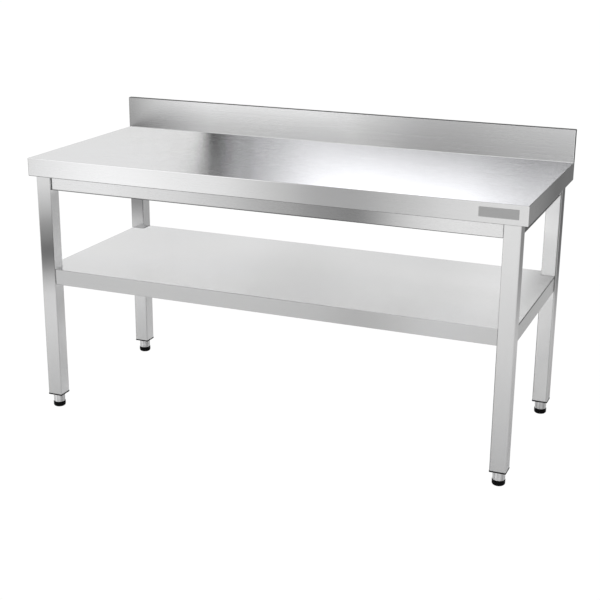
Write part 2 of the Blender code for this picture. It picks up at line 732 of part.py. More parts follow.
def feet(plastic, stem_steel, sleeve_steel):
    parts = (("foot_stem_", stem_mesh(), stem_steel),
             ("foot_sleeve_", sleeve_mesh(), sleeve_steel),
             ("foot_tip_", tip_mesh(), plastic))
    for name, (side_x, side_y) in CORNERS.items():
        axis = bpy.data.objects.new("foot_axis_" + name, None)
        bpy.context.scene.collection.objects.link(axis)
        axis.location = (*leg_centre(side_x, side_y), 0)
        for prefix, mesh, mat in parts:
            place(prefix + name, mesh, mat, parent=axis)


# ------------------------------------------------------------------ name plate
def name_plate(mat):
    """Blank name plate on the front edge, near the right end."""
    right = WIDTH / 2 - BADGE_RIGHT
    top = HEIGHT - BADGE_DROP
    solid = bmesh.new()
    edges = add_box(solid, (right - BADGE_W, FRONT_Y - BADGE_T, top - BADGE_H),
                    (right, FRONT_Y - BADGE_BACK, top))
    # the four short edges through the plate's thickness
    corners = [e for e in edges
               if abs(e.verts[0].co.y - e.verts[1].co.y) > BADGE_T * 0.5]
    bevel(solid, corners, BADGE_R, steps=2)
    finish("name_plate", solid, mat)


def build():
    for obj in list(bpy.data.objects):
        bpy.data.objects.remove(obj, do_unlink=True)

    steel = material("brushed_stainless", color=(0.70, 0.70, 0.71), roughness=0.30)
    leg_steel = material("leg_stainless", color=(0.68, 0.68, 0.69), roughness=0.28)
    hidden_steel = material("plain_stainless", color=(0.60, 0.60, 0.61), roughness=0.38)
    bolt_steel = material("bolt_steel", color=(0.62, 0.62, 0.63), roughness=0.30)
    sleeve_steel = material("polished_stainless", color=(0.76, 0.76, 0.77), roughness=0.18)
    board = material("board", color=(0.62, 0.47, 0.30), roughness=0.80, metallic=0.0)
    plastic = material("black_plastic", color=(0.015, 0.015, 0.016), roughness=0.42,
                       metallic=0.0)
    plate = material("plate_grey", color=(0.40, 0.40, 0.41), roughness=0.40)

    worktop_sheet(steel)
    worktop_core(board)
    worktop_channels(hidden_steel)
    legs(leg_steel)
    aprons(steel)
    worktop_screws(bolt_steel)
    fasteners(bolt_steel)
    shelf_corners(shelf_tray(steel))
    shelf_channel(steel)
    leg_plugs(plastic)
    feet(plastic, bolt_steel, sleeve_steel)
    name_plate(plate)


build()
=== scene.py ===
"""Looks for a stainless work table: a folded worktop with a rear upstand, four
square legs joined by aprons, an undershelf and screw feet.

The long side lies along X, the front faces -Y, left is -X and +Z is up.
Lengths are metres.  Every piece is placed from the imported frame's own boxes."""
import json
import math
from functools import cached_property

import bmesh
import bpy
from mathutils import Matrix, Vector


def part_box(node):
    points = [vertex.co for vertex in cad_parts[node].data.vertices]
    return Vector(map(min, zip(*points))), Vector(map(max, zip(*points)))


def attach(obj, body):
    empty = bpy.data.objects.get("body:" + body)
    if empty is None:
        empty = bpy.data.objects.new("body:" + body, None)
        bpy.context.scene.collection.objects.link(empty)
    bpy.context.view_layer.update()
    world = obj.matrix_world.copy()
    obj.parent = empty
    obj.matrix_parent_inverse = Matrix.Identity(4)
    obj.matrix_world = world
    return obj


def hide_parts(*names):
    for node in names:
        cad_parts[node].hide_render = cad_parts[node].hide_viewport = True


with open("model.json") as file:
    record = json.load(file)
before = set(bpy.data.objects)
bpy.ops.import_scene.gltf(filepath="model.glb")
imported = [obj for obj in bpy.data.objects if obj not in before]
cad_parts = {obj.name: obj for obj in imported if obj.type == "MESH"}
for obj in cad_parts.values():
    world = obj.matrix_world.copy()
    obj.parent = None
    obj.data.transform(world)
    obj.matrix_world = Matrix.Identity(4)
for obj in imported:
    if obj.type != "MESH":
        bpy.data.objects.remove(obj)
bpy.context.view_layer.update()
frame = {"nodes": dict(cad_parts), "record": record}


def middle_z(node):
    return sum(corner.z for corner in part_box(node)) / 2


MOUNTS = {mount["name"]: mount for mount in frame["record"]["mounts"]}
# side along X and side along Y
CORNERS = {"front_left": (-1, -1), "front_right": (1, -1),
           "rear_left": (-1, 1), "rear_right": (1, 1)}

# heights given by the frame
SURFACE = MOUNTS["worktop_surface"]["pos_m"][2]
DECK = MOUNTS["undershelf_deck"]["pos_m"][2]
APRON_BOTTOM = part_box("apron_front")[0].z
LONG_BOLT_Z = middle_z("long_apron_bolt_front_left")
SIDE_BOLT_Z = middle_z("side_apron_bolt_front_left")
SHELF_BOLT_Z = middle_z("shelf_bolt_front_left")

# sheet and section sizes that the boxes don't show: T thickness, R outer bend radius
TOP_T, TOP_R, TOP_LIP = 0.0010, 0.0020, 0.010
UPSTAND_T = 0.018
LEG_T, LEG_R = 0.0012, 0.0040
APRON_T, APRON_R = 0.0012, 0.0030
SHELF_T, SHELF_R, SHELF_LIP = 0.0010, 0.0020, 0.012
CHANNEL_W, CHANNEL_FLANGE, CHANNEL_T, CHANNEL_R = 0.040, 0.016, 0.0012, 0.0022
HOLE_R = 0.0045
DRILL_LENGTH = 0.006      # passes one wall
OVERCUT = 0.010           # how far a cutting block runs past the sheet


# ================================================================= shader nodes
def operator(operation, swapped=False):
    def method(self, other):
        pair = (other, self) if swapped else (self, other)
        return self.tree.math(operation, *pair)
    return method


class Value:
    """An output socket that takes arithmetic; each operation adds a node.
    Comparisons give 1 where they hold and 0 elsewhere."""

    def __init__(self, tree, socket):
        self.tree = tree
        self.socket = socket

    __add__ = operator("ADD")
    __radd__ = operator("ADD", swapped=True)
    __sub__ = operator("SUBTRACT")
    __rsub__ = operator("SUBTRACT", swapped=True)
    __mul__ = operator("MULTIPLY")
    __truediv__ = operator("DIVIDE")
    __gt__ = operator("GREATER_THAN")
    __lt__ = operator("LESS_THAN")

    def __abs__(self):
        return self.tree.math("ABSOLUTE", self)

    def within(self, low, high):
        return (self > low) * (self < high)

    def pick(self, off, on):
        """off where this is 0, on where it is 1."""
        return self.tree.mix(self, off, on)

    def times(self, factor, where):
        """Multiplied by factor where `where` is 1."""
        return self * where.pick(1.0, factor)

    def swing(self, amount):
        """A noise of 0 to 1 turned into a swing about zero."""
        return (self - 0.5) * amount

    def span(self, over, to=(0.0, 1.0), smooth=True):
        """The range `over` carried to the range `to`, clamped."""
        return self.tree.make(
            "ShaderNodeMapRange", dict(enumerate((self, *over, *to))), clamp=True,
            interpolation_type="SMOOTHSTEP" if smooth else "LINEAR")

    def ramp(self, stops, end=None):
        """Curve through rising (place, height) stops, scaled from the first
        place to end, which is the last place unless given."""
        start = stops[0][0]
        end = stops[-1][0] if end is None else end
        colors = [((place - start) / (end - start), (height,) * 3 + (1,))
                  for place, height in stops]
        share = self.span((start, end), smooth=False)
        return self.tree.color_ramp(share, colors, "CARDINAL") + 0.0


class Tree:
    """Builds a node tree from Values and plain numbers."""

    def __init__(self, tree):
        self.tree = tree
        self.tree.nodes.clear()
        self.next_x = 0

    def node(self, kind, **settings):
        node = self.tree.nodes.new(kind)
        node.location = (self.next_x, 0)
        self.next_x += 40
        for key, setting in settings.items():
            setattr(node, key, setting)
        return node

    def wire(self, socket, value):
        if isinstance(value, Value):
            self.tree.links.new(value.socket, socket)
        else:
            socket.default_value = value

    def make(self, kind, inputs, output=0, **settings):
        node = self.node(kind, **settings)
        for key, value in inputs.items():
            self.wire(node.inputs[key], value)
        return Value(self, node.outputs[output])

    def finish(self, surface, kind="ShaderNodeOutputMaterial"):
        self.wire(self.node(kind).inputs["Surface"], surface)

    def math(self, operation, *inputs, clamp=False):
        return self.make("ShaderNodeMath", dict(enumerate(inputs)),
                         operation=operation, use_clamp=clamp)

    def vector(self, operation, *inputs):
        return self.make("ShaderNodeVectorMath", dict(enumerate(inputs)), operation=operation)

    def split(self, vector):
        node = self.node("ShaderNodeSeparateXYZ")
        self.wire(node.inputs[0], vector)
        return [Value(self, socket) for socket in node.outputs]

    def join(self, x, y, z):
        return self.make("ShaderNodeCombineXYZ", {0: x, 1: y, 2: z})

    def grey(self, level):
        return self.join(level, level, level)

    def mix(self, share, first, second, kind="FLOAT", **settings):
        # the mix node keeps separate sockets for each kind of value
        slot, output = {"FLOAT": (2, 0), "VECTOR": (4, 1), "RGBA": (6, 2)}[kind]
        return self.make("ShaderNodeMix", {0: share, slot: first, slot + 1: second},
                         output, data_type=kind, **settings)

    def shaded(self, color, level):
        return self.mix(1.0, color, self.grey(level), "RGBA", blend_type="MULTIPLY")

    def color_ramp(self, share, stops, interpolation="LINEAR"):
        """Ramp through (place, color) stops."""
        node = self.node("ShaderNodeValToRGB")
        ramp = node.color_ramp
        ramp.interpolation = interpolation
        while len(ramp.elements) > 1:
            ramp.elements.remove(ramp.elements[-1])
        ramp.elements[0].position, ramp.elements[0].color = stops[0]
        for place, color in stops[1:]:
            ramp.elements.new(place).color = color
        self.wire(node.inputs[0], share)
        return Value(self, node.outputs[0])

    def noise(self, place, scale, detail, rough):
        return self.make("ShaderNodeTexNoise", {"Vector": place, "Scale": scale,
                                                "Detail": detail, "Roughness": rough})

    def stretched_noise(self, place, frequency, detail, rough):
        """Noise with its own frequency along each axis."""
        return self.noise(self.vector("MULTIPLY", place, frequency), 1.0, detail, rough)

    def coordinate(self, output):
        return self.make("ShaderNodeTexCoord", {}, output)

    def geometry(self, output):
        return self.make("ShaderNodeNewGeometry", {}, output)

    def light_path(self, output):
        return self.make("ShaderNodeLightPath", {}, output)

    def bend(self):
        """1 on faces that slant or curve, 0 on those square to an axis."""
        return self.make("ShaderNodeAttribute", {}, "Fac", attribute_name="bend")

    def bump(self, height, strength, distance):
        return self.make("ShaderNodeBump", {"Strength": strength, "Distance": distance,
                                            "Height": height})

    def principled(self, **inputs):
        """Input names are given with _ for each space."""
        return self.make("ShaderNodeBsdfPrincipled",
                         {key.replace("_", " "): value for key, value in inputs.items()})


def new_material(name):
    material = bpy.data.materials.new(name)
    material.use_nodes = True
    return material, Tree(material.node_tree)


class View:
    """A point on the steel and the direction that it mirrors.  The painted reflection's
    light and dark panels are laid out on bearing and elevation."""

    def __init__(self, tree, place, normal=None):
        self.tree = tree
        self.place = place
        self.normal = normal
        self.mirrored = tree.split(tree.coordinate("Reflection"))

    @cached_property
    def bearing(self):
        """Compass angle, degrees from +Y towards -X."""
        x, y, _ = self.mirrored
        return self.tree.math("DEGREES", self.tree.math("ARCTAN2", x * -1.0, y))

    @cached_property
    def elevation(self):
        """Degrees above level."""
        return self.tree.math("DEGREES", self.tree.math("ARCSINE", self.mirrored[2]))

    def facing(self, axis, sign, edge):
        part = self.tree.split(self.normal)["XYZ".index(axis)]
        return part * sign > edge

    def lies_flat(self):
        return self.facing("Z", 1.0, edge=0.985)


# ============================================================== steel materials
# one row per width of brush line, fine to wide:
# frequency along the grain, frequency across it, detail, roughness
BRUSH_LINES = [(9.0, 2600.0, 3.0, 0.6), (4.0, 520.0, 3.0, 0.6), (1.1, 70.0, 2.0, 0.5)]


def by_axis(axis, along, across):
    return tuple(along if letter == axis else across for letter in "XYZ")


def brushed(tree, place, grain):
    """Noise drawn out along the grain at three widths."""
    return [tree.stretched_noise(place, by_axis(grain, along, across), detail, rough)
            for along, across, detail, rough in BRUSH_LINES]


def edge_tint(tree, level, color):
    """Keeps the sheet, painted reflection and all, as deep in tone at a low glance as head on.
    """
    face_on = tree.math("MULTIPLY", level, color[0], clamp=True)
    loss = (1.0 - face_on) * 0.344 / (0.473 + face_on * 0.527)
    return tree.grey(tree.math("SUBTRACT", 1.0, loss, clamp=True))


def leave_out(tree, surface, unmirrored):
    """Lets mirrored rays through where unmirrored is 1."""
    share = unmirrored * tree.light_path("Is Glossy Ray")
    clear = tree.make("ShaderNodeBsdfTransparent", {})
    return tree.make("ShaderNodeMixShader", {0: share, 1: surface, 2: clear})


def seen_from_below(tree, place):
    return tree.split(tree.geometry("Incoming"))[2] < -0.03


STEEL = (0.80, 0.80, 0.80)
MILL_STEEL = (0.62, 0.62, 0.625)


def steel(name, grain, tone, rough, aniso, depth, color=STEEL, end_grain=None,
          stain=1.0, bend_gain=0.10, hue=None, unmirrored=None):
    """Brushed stainless.  grain is the brushing direction; end_grain is its
    direction on faces that look along X, where the sheet is folded down.
    depth scales the brush lines and stain the clouding.  tone(view) is the
    mirrored studio as painted reflection, hue(view) the share of a painted cool
    cast, and where unmirrored(tree, place) is 1 other surfaces don't mirror the sheet."""
    material, tree = new_material(name)
    place = tree.coordinate("Object")
    normal = tree.geometry("Normal")
    view = View(tree, place, normal)
    lines = brushed(tree, place, grain)
    direction = by_axis(grain, 1, 0)
    if end_grain:
        end_face = abs(tree.split(normal)[0]) > 0.75
        lines = [end_face.pick(*pair) for pair in zip(lines, brushed(tree, place, end_grain))]
        direction = tree.mix(end_face, direction, by_axis(end_grain, 1, 0), "VECTOR")
    fine, mid, wide = lines
    bend = tree.bend()
    cloud = tree.noise(place, scale=3.1, detail=3.0, rough=0.55)
    smear = tree.stretched_noise(place, (5.0, 7.0, 6.0), detail=4.0, rough=0.62)

    level = fine.swing(0.20 * depth) + mid.swing(0.11 * depth)
    level = level + wide.swing(0.05 * depth)
    level = level + cloud.swing(0.03 * stain)
    # painted reflection: the tone multiplies the brushed colour
    level = (level + 1.0) * tone(view)
    # bends are worn by handling: another tone and a little smoother
    level = level * (1.0 + bend * bend_gain)
    red, green, blue = color
    tint = tree.mix(cloud.span((0.35, 0.65)), (*color, 1),
                    (red * 0.995, green * 0.997, blue * 1.004, 1), "RGBA")
    # painted cool cast, in the share that hue(view) gives, standing in for a mirrored lamp
    if hue:
        cool = (red * 0.985, green * 0.990, blue * 1.030, 1)
        tint = tree.mix(hue(view), tint, cool, "RGBA")

    roughness = rough + mid.swing(0.10)
    roughness = roughness + smear.swing(0.09 * stain)
    roughness = tree.math("SUBTRACT", roughness, bend * 0.05, clamp=True)
    # rough across the brushing, so lights are drawn out across it
    tangent = tree.vector("NORMALIZE", tree.vector("CROSS_PRODUCT", normal, direction))
    surface = tree.principled(
        Base_Color=tree.shaded(tint, level), Metallic=1.0, Roughness=roughness,
        Specular_Tint=edge_tint(tree, level, color), Anisotropic=aniso, Tangent=tangent,
        Normal=tree.bump(fine + mid * 1.5, strength=0.10 * depth, distance=0.0002))
    if unmirrored:
        surface = leave_out(tree, surface, unmirrored(tree, place))
    tree.finish(surface)
    return material


# Painted reflection of a studio on upright faces, as (bearing, level): broad
# painted panels round the compass, and closer lists for the bearings of NEAR_ARC.
NEAR_ARC = (138.0, 180.0)
AROUND = [(-150, 0.84), (-126, 0.58), (-104, 0.46), (-84, 0.66), (-62, 0.84), (-40, 0.66),
          (-22, 0.26), (-11, 0.165), (0, 0.26), (16, 0.60), (38, 0.82), (64, 0.70),
          (88, 0.36), (108, 0.30), (128, 0.52)]
EDGE_PANELS = [(138, 0.56), (145, 0.70), (148, 0.86), (151.5, 0.79), (154.5, 0.67),
               (157.5, 0.45), (159.6, 0.37), (161.5, 0.43), (164, 0.59), (166, 0.67),
               (171, 0.68), (180, 0.62)]
UPSTAND_PANELS = [(138, 0.20), (146, 0.23), (150, 0.36), (152.5, 0.86), (155, 1.11),
                  (158, 1.10), (160.5, 0.95), (162.5, 0.74), (164.5, 0.64), (167, 0.71),
                  (170, 0.80), (180, 0.86)]
APRON_PANELS = [(138, 0.60), (147.5, 0.74), (150, 0.68), (152.5, 0.60), (155, 0.46),
                (157.5, 0.32), (159.3, 0.24), (160.7, 0.25), (162, 0.45), (163, 0.60),
                (165.5, 0.73), (180, 0.66)]
SHELF_PANELS = [(138, 0.42), (146, 0.455), (154, 0.475), (158.5, 0.455), (161, 0.42),
                (164, 0.52), (168, 0.52), (180, 0.53)]

# Painted reflection of the ground on downward bends: (bearing to either side, level)
TOP_GROUND = [(138, 0.30), (150, 0.34), (155, 1.0), (158.5, 1.6), (166, 1.4), (180, 1.3)]
APRON_GROUND = [(138, 0.16), (156, 0.20), (160, 0.60), (163, 1.10), (180, 1.15)]
APRON_SIDE_GROUND = [(138, 0.25), (180, 0.45)]
SHELF_GROUND = [(138, 0.75), (160, 0.80), (180, 0.90)]


def uprights(view, panels):
    around = [(-180, panels[-1][1])] + AROUND + [(NEAR_ARC[0], panels[0][1])]
    near = view.bearing.ramp(panels)
    far = view.bearing.ramp(around, end=180.0)
    return view.bearing.within(*NEAR_ARC).pick(far, near)


def folded(view, level, top_bend, ground):
    """Painted highlights: bends that turn up catch a painted ceiling, at the level
    top_bend; bends that turn down catch a painted ground."""
    bend = view.tree.bend()
    floor = bend.pick(0.85, abs(view.bearing).ramp(ground))
    level = level.times(floor, where=view.elevation.span((-23.0, -34.0)))
    return (view.elevation.span((16.0, 30.0)) * bend).pick(level, top_bend)


# ---------------------------------------------------------------------- worktop
ABOVE_SURFACE = SURFACE + 0.0012
# (x, level) of the painted highlight on the front edge's upper bend
FRONT_BEND = [(-0.80, 0.85), (-0.66, 1.25), (-0.34, 1.35), (-0.17, 1.30), (0.02, 0.90),
              (0.20, 0.40), (0.38, 0.46), (0.80, 0.66)]
# (bearing, level) of the level surface's painted reflection: a painted soft lamp
# behind the table, cut off by the straight edge of a dark panel, with an even pale wall beyond
# it
PAINTED_LAMP_ARC = (5.0, 35.0)
TOP_NEAR = [(5, 0.44), (11.6, 0.51), (14, 0.71), (17, 0.86), (20.4, 0.96), (22.4, 0.80),
            (24.5, 0.475), (25.4, 0.37), (26, 0.25), (26.35, 0.205), (26.6, 0.265),
            (26.8, 0.37), (27.0, 0.46), (27.3, 0.60), (27.7, 0.69), (28.4, 0.755),
            (30, 0.785), (35, 0.79)]
TOP_FAR = [(-180, 0.62), (-140, 0.70), (-100, 0.52), (-60, 0.64), (-30, 0.60), (-8, 0.50),
           (5, 0.44), (35, 0.78), (60, 0.68), (100, 0.62), (140, 0.56), (180, 0.62)]
# (bearing, change of level with elevation); SWING_REST means no change
TOP_SWING = [(5, 0.70), (14, 0.75), (17, 0.69), (20, 0.61), (24, 0.42), (25.4, 0.42),
             (26, 0.54), (26.35, 0.64), (26.6, 0.40), (26.9, 0.08), (27.3, 0.16),
             (28.2, 0.30), (35, 0.30)]
SWING_REST = 0.30


def worktop_front_bend(view, x):
    """A painted bright line under a painted thin grey one, fading to the right."""
    level = x.ramp(FRONT_BEND)
    level = view.bearing.within(-60.0, 90.0).pick(level, level * 0.40)
    return view.facing("X", 1.0, edge=0.2).pick(level, 0.12)


def worktop_upright(view, x, y, z, above):
    bearing, elevation = view.bearing, view.elevation
    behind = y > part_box("worktop_sheet")[1].y - UPSTAND_T - 0.006
    crest = z > SURFACE + 0.08
    level = (above * view.facing("Y", -1.0, edge=0.5)).pick(
        uprights(view, EDGE_PANELS), uprights(view, UPSTAND_PANELS))
    # the folded end: painted paler towards the front
    ends = bearing.within(-40.0, 15.0) * (elevation < 0.0)
    level = level.times(y.span((-0.33, 0.10), to=(1.70, 1.04)), where=ends)
    # left-hand bends get a painted dark corner
    corner = bearing.within(55.0, 142.0) * (elevation < 10.0) * view.tree.bend()
    level = level.times(0.28, where=corner)
    # the upstand: painted paler towards its crest on the left; its end painted dark
    climb = above * behind * x.span((0.15, -0.10))
    rise = z.span((SURFACE + 0.010, SURFACE + 0.105), to=(0.965, 1.12))
    level = level.times(rise, where=climb)
    level = (above * view.facing("X", 1.0, edge=0.5)).pick(level, 0.08)
    upstand_bend = crest.pick(x.span((-0.60, -0.25), to=(0.36, 0.64)), 0.16)
    top_bend = behind.pick(worktop_front_bend(view, x), upstand_bend)
    return folded(view, level, top_bend, TOP_GROUND)


def worktop_level(view, above):
    bearing, elevation, math_node = view.bearing, view.elevation, view.tree.math
    level = bearing.within(*PAINTED_LAMP_ARC).pick(bearing.ramp(TOP_FAR), bearing.ramp(TOP_NEAR))
    swing = (bearing.ramp(TOP_SWING) - SWING_REST) * bearing.span((-12.0, 4.0))
    # steps of 1.15 degrees from an elevation of 11.55, held between two limits
    rise = (elevation - 11.55) / 1.15
    rise = math_node("MINIMUM", math_node("MAXIMUM", rise, -1.7), 1.15)
    level = level * (1.0 + swing * rise)
    # high views see an evenly painted ceiling
    level = elevation.span((34.0, 70.0)).pick(level, 0.72)
    # what lies level above the surface is painted as a dark rim
    return (above * (elevation < 30.0)).pick(level, 0.10)


def worktop_tone(view):
    x, y, z = view.tree.split(view.place)
    above = z > ABOVE_SURFACE
    upright = worktop_upright(view, x, y, z, above)
    return view.lies_flat().pick(upright, worktop_level(view, above))


def worktop_painted_cast(view):
    """Painted cool cast where the level surface mirrors the painted lamp."""
    lit = view.bearing.span((26.8, 25.8)) * view.bearing.span((-60.0, -20.0))
    lit = lit * view.elevation.span((40.0, 24.0))
    return lit * view.lies_flat()


def worktop_unmirrored(tree, place):
    above = tree.split(place)[2] > ABOVE_SURFACE
    return tree.math("MAXIMUM", seen_from_below(tree, place), above)


# ----------------------------------------------------------------------- aprons
def apron_tone(view, ground=APRON_GROUND):
    level = folded(view, uprights(view, APRON_PANELS), 0.85, ground)
    # painted shade along the lower bend, where it faces the ground
    height = view.tree.split(view.place)[2]
    painted_shade_strip = (height.span((APRON_BOTTOM + 0.0048, APRON_BOTTOM + 0.0034))
             * view.bearing.span((160.5, 158.0), to=(0.0, 0.42)))
    level = level * (1.0 - painted_shade_strip)
    return view.lies_flat().pick(level, 0.75)


def apron_side_tone(view):
    """The face that looks right is painted darker, as shade of the worktop's edge."""
    level = apron_tone(view, APRON_SIDE_GROUND)
    return level.times(0.58, where=view.facing("X", 1.0, edge=0.30))


# ------------------------------------------------------------------- undershelf
# (x, level) of the painted highlights on the deck's upper bends
SHELF_BEND = [(-0.80, 0.36), (-0.40, 0.40), (0.0, 0.29), (0.30, 0.38), (0.80, 0.52)]
# (bearing, level) of the deck's painted reflection
DECK_FAR = [(-180, 0.74), (-90, 0.66), (-20, 0.62), (5, 0.66), (35, 0.73), (70, 0.76),
            (130, 0.68), (180, 0.74)]
DECK_NEAR = [(5, 0.70), (11.4, 0.745), (13, 0.745), (15, 0.70), (17.4, 0.69), (20, 0.67),
             (22.3, 0.65), (24.7, 0.695), (27.2, 0.73), (29, 0.74), (32, 0.765), (35, 0.77)]


def shelf_upright(view, x, z):
    right = view.facing("X", 1.0, edge=0.80)
    level = right.pick(uprights(view, SHELF_PANELS), 0.46)
    right_bend = view.facing("X", 1.0, edge=0.15)
    top_bend = right_bend.pick(x.ramp(SHELF_BEND), 0.04)
    level = folded(view, level, top_bend, SHELF_GROUND)
    # painted dark line on the right-hand edge, just below its bend
    painted_dark_line = right * z.span((DECK - 0.0042, DECK - 0.0028), to=(0.0, 0.62))
    return level * (1.0 - painted_dark_line)


def shelf_deck(view, x, y):
    bearing = view.bearing
    # painted reflection: the near panels are painted paler to the rear, away from the left end
    rear = y.span((-0.06, 0.28)) * x.span((-0.60, -0.20))
    near = bearing.ramp(DECK_NEAR) * (1.0 + rear * 0.10)
    level = bearing.within(*PAINTED_LAMP_ARC).pick(bearing.ramp(DECK_FAR), near)
    # painted a little deeper to the front, painted greyer into the right-hand rear corner
    level = level * y.span((0.0, -0.32), to=(1.0, 0.95))
    corner = x.span((-0.15, 0.42)) * y.span((0.06, 0.28), to=(0.0, 0.08))
    level = level * (1.0 - corner)
    right_end = x.span((0.64, 0.78)) * y.span((-0.25, 0.32), to=(0.06, 0.44))
    level = level * (1.0 - right_end)
    # mirrored in the legs the deck is painted as a plain pale bounce
    return view.tree.light_path("Is Glossy Ray").pick(level, 1.0)


def shelf_tone(view):
    x, y, z = view.tree.split(view.place)
    upright = shelf_upright(view, x, z)
    return view.lies_flat().pick(upright, shelf_deck(view, x, y))


# ------------------------------------------------------------------------- legs
# (elevation, level) of the painted reflection: every leg, and the front left leg's
# painted dark horizon, soft above and crisp below
LEG_LEVEL = [(-90, 0.34), (-45, 0.40), (-26, 0.48), (-21, 0.57), (-17, 0.64), (-13, 0.72),
             (-6, 0.78), (10, 0.86), (90, 0.90)]
LEG_HORIZON = [(-25, 0.47), (-21, 0.51), (-17.3, 0.56), (-16.3, 0.33), (-15.6, 0.165),
               (-14.8, 0.185), (-13.7, 0.35), (-12.3, 0.62), (-10, 0.72), (-5, 0.78)]
# (height, level) of the painted light and shade on the rear legs
REAR_LEFT = [(0.0, 0.93), (0.30, 0.90), (0.44, 0.87), (0.49, 0.72), (0.53, 0.55),
             (0.58, 0.34), (0.85, 0.30)]
REAR_RIGHT = [(0.0, 0.72), (0.06, 0.70), (0.11, 0.67), (0.18, 0.63), (0.25, 0.61),
              (0.33, 0.605), (0.40, 0.59), (0.50, 0.68), (0.56, 0.67), (0.605, 0.66),
              (0.63, 0.65), (0.70, 0.53), (0.85, 0.52)]
REAR_RIGHT_GAIN = 1.9
# (bearing, level) of the painted reflection on every leg, and on the right-hand bends
LEG_AROUND = [(-180, 1.0), (-150, 1.0), (-110, 0.96), (-80, 0.92), (-50, 0.90), (-34, 0.80),
              (-24, 0.70), (0, 0.60), (20, 0.9), (60, 1.05), (90, 0.80), (112, 0.70),
              (138, 0.95), (150, 1.0), (180, 1.0)]
LEG_TURN = [(20, 1.0), (50, 0.80), (90, 0.72), (125, 0.80), (142, 1.0)]
# (height, level) of the painted light and shade on the faces that look right
RIGHT_FACES = {
    "front_left": [(0.0, 0.66), (0.07, 0.67), (0.16, 0.70), (0.26, 0.72), (0.37, 0.56),
                   (0.46, 0.60), (0.524, 0.65), (0.576, 0.62), (0.645, 0.535), (0.70, 0.46),
                   (0.74, 0.50), (0.765, 0.84), (0.85, 0.90)],
    "rear_left": [(0.0, 0.64), (0.10, 0.62), (0.24, 0.55), (0.33, 0.53), (0.42, 0.51),
                  (0.47, 0.42), (0.56, 0.40), (0.85, 0.40)],
    "front_right": [(0.0, 0.54), (0.08, 0.54), (0.14, 0.55), (0.24, 0.56), (0.33, 0.55),
                    (0.454, 0.57), (0.547, 0.44), (0.61, 0.36), (0.672, 0.29), (0.85, 0.25)],
    "rear_right": [(0.0, 0.48), (0.10, 0.48), (0.18, 0.50), (0.30, 0.49), (0.38, 0.40),
                   (0.42, 0.33), (0.50, 0.17), (0.62, 0.13), (0.85, 0.12)],
}


def leg_tone(view):
    """Painted reflection: brushed upright, so the painted studio is drawn out
    sideways and the tone follows the height of the mirrored view."""
    x, y, z = view.tree.split(view.place)
    bearing, elevation = view.bearing, view.elevation
    rear = y > 0.0
    left = x < 0.0
    front = 1.0 - rear
    # the front left leg mirrors a painted dark horizon
    ahead = view.tree.math("MAXIMUM", bearing > NEAR_ARC[0], bearing < -60.0)
    horizon = ahead * elevation.within(-25.0, -5.0) * left
    level = (horizon * front).pick(elevation.ramp(LEG_LEVEL), elevation.ramp(LEG_HORIZON))
    # the front left leg painted lighter towards its top
    level = level.times(z.span((0.42, 0.74), to=(0.965, 1.03)), where=left * front)
    # painted shade on the rear left leg under the worktop, painted light on the rear right one
    level = level.times(z.ramp(REAR_LEFT), where=rear * left)
    level = level.times(z.ramp(REAR_RIGHT) * REAR_RIGHT_GAIN, where=rear * (1.0 - left))
    level = level * bearing.ramp(LEG_AROUND)
    # right-hand legs: a painted thin dark line low on the bends
    low_bend = bearing.within(20.0, 142.0) * z.span((0.50, 0.40))
    level = level * left.pick(low_bend.pick(1.0, bearing.ramp(LEG_TURN)), 1.0)
    # and a painted dark margin at the right of the rear right leg's front face
    margin = rear * x.span((0.7742, 0.7754)) * view.facing("Y", -1.0, edge=0.6)
    level = level.times(z.span((0.40, 0.46), to=(0.70, 0.30)), where=margin)
    # painted light and shade on the faces that look right
    right = view.facing("X", 1.0, edge=0.60) * bearing.within(-60.0, 60.0)
    faces = {corner: z.ramp(table) for corner, table in RIGHT_FACES.items()}
    side = left.pick(rear.pick(faces["front_right"], faces["rear_right"]),
                     rear.pick(faces["front_left"], faces["rear_left"]))
    return right.pick(level, side)


def leg_unmirrored(tree, place):
    """The rear legs above the shelf."""
    return (tree.split(place)[2] > DECK) * (tree.split(place)[1] > 0.0)


# ------------------------------------------------------------------ small parts
def quiet_tone(low, high):
    """Painted reflection of even panels of two levels right round the compass."""
    def tone(view):
        return view.bearing.ramp([(-180, high), (-120, low), (-60, high), (0, low),
                                  (60, high), (120, low), (180, high)])
    return tone


def sleeve_tone(view):
    """Painted reflection: a turned tube mirrors the whole room in narrow upright stripes."""
    return view.bearing.ramp([
        (-180, 0.50), (-150, 0.58), (-120, 0.42), (-95, 0.34), (-60, 0.50), (-30, 0.44),
        (0, 0.34), (40, 0.46), (80, 0.60), (105, 0.44), (128, 0.58), (145, 0.76),
        (158, 0.54), (180, 0.50)])


def turned(name, color, tone, rough):
    """Lathe-turned steel: fine and broad rings stacked up Z."""
    material, tree = new_material(name)
    place = tree.coordinate("Object")
    x, y, z = tree.split(place)

    def ring_noise(across, upward, detail, rough):
        point = tree.join(x * across, y * across, z * upward)
        return tree.noise(point, 1.0, detail, rough)

    rings = ring_noise(across=14.0, upward=3200.0, detail=3.0, rough=0.6)
    broad = ring_noise(across=30.0, upward=420.0, detail=2.0, rough=0.5)
    level = 1.0 + rings.swing(0.20)
    level = level + broad.swing(0.10)
    # the tone is a painted reflection, multiplied into the colour
    level = level * tone(View(tree, place))
    tree.finish(tree.principled(
        Base_Color=tree.shaded((*color, 1), level), Metallic=1.0,
        Roughness=rough + rings.swing(0.10),
        Normal=tree.bump(rings, strength=0.15, distance=0.00015)))
    return material


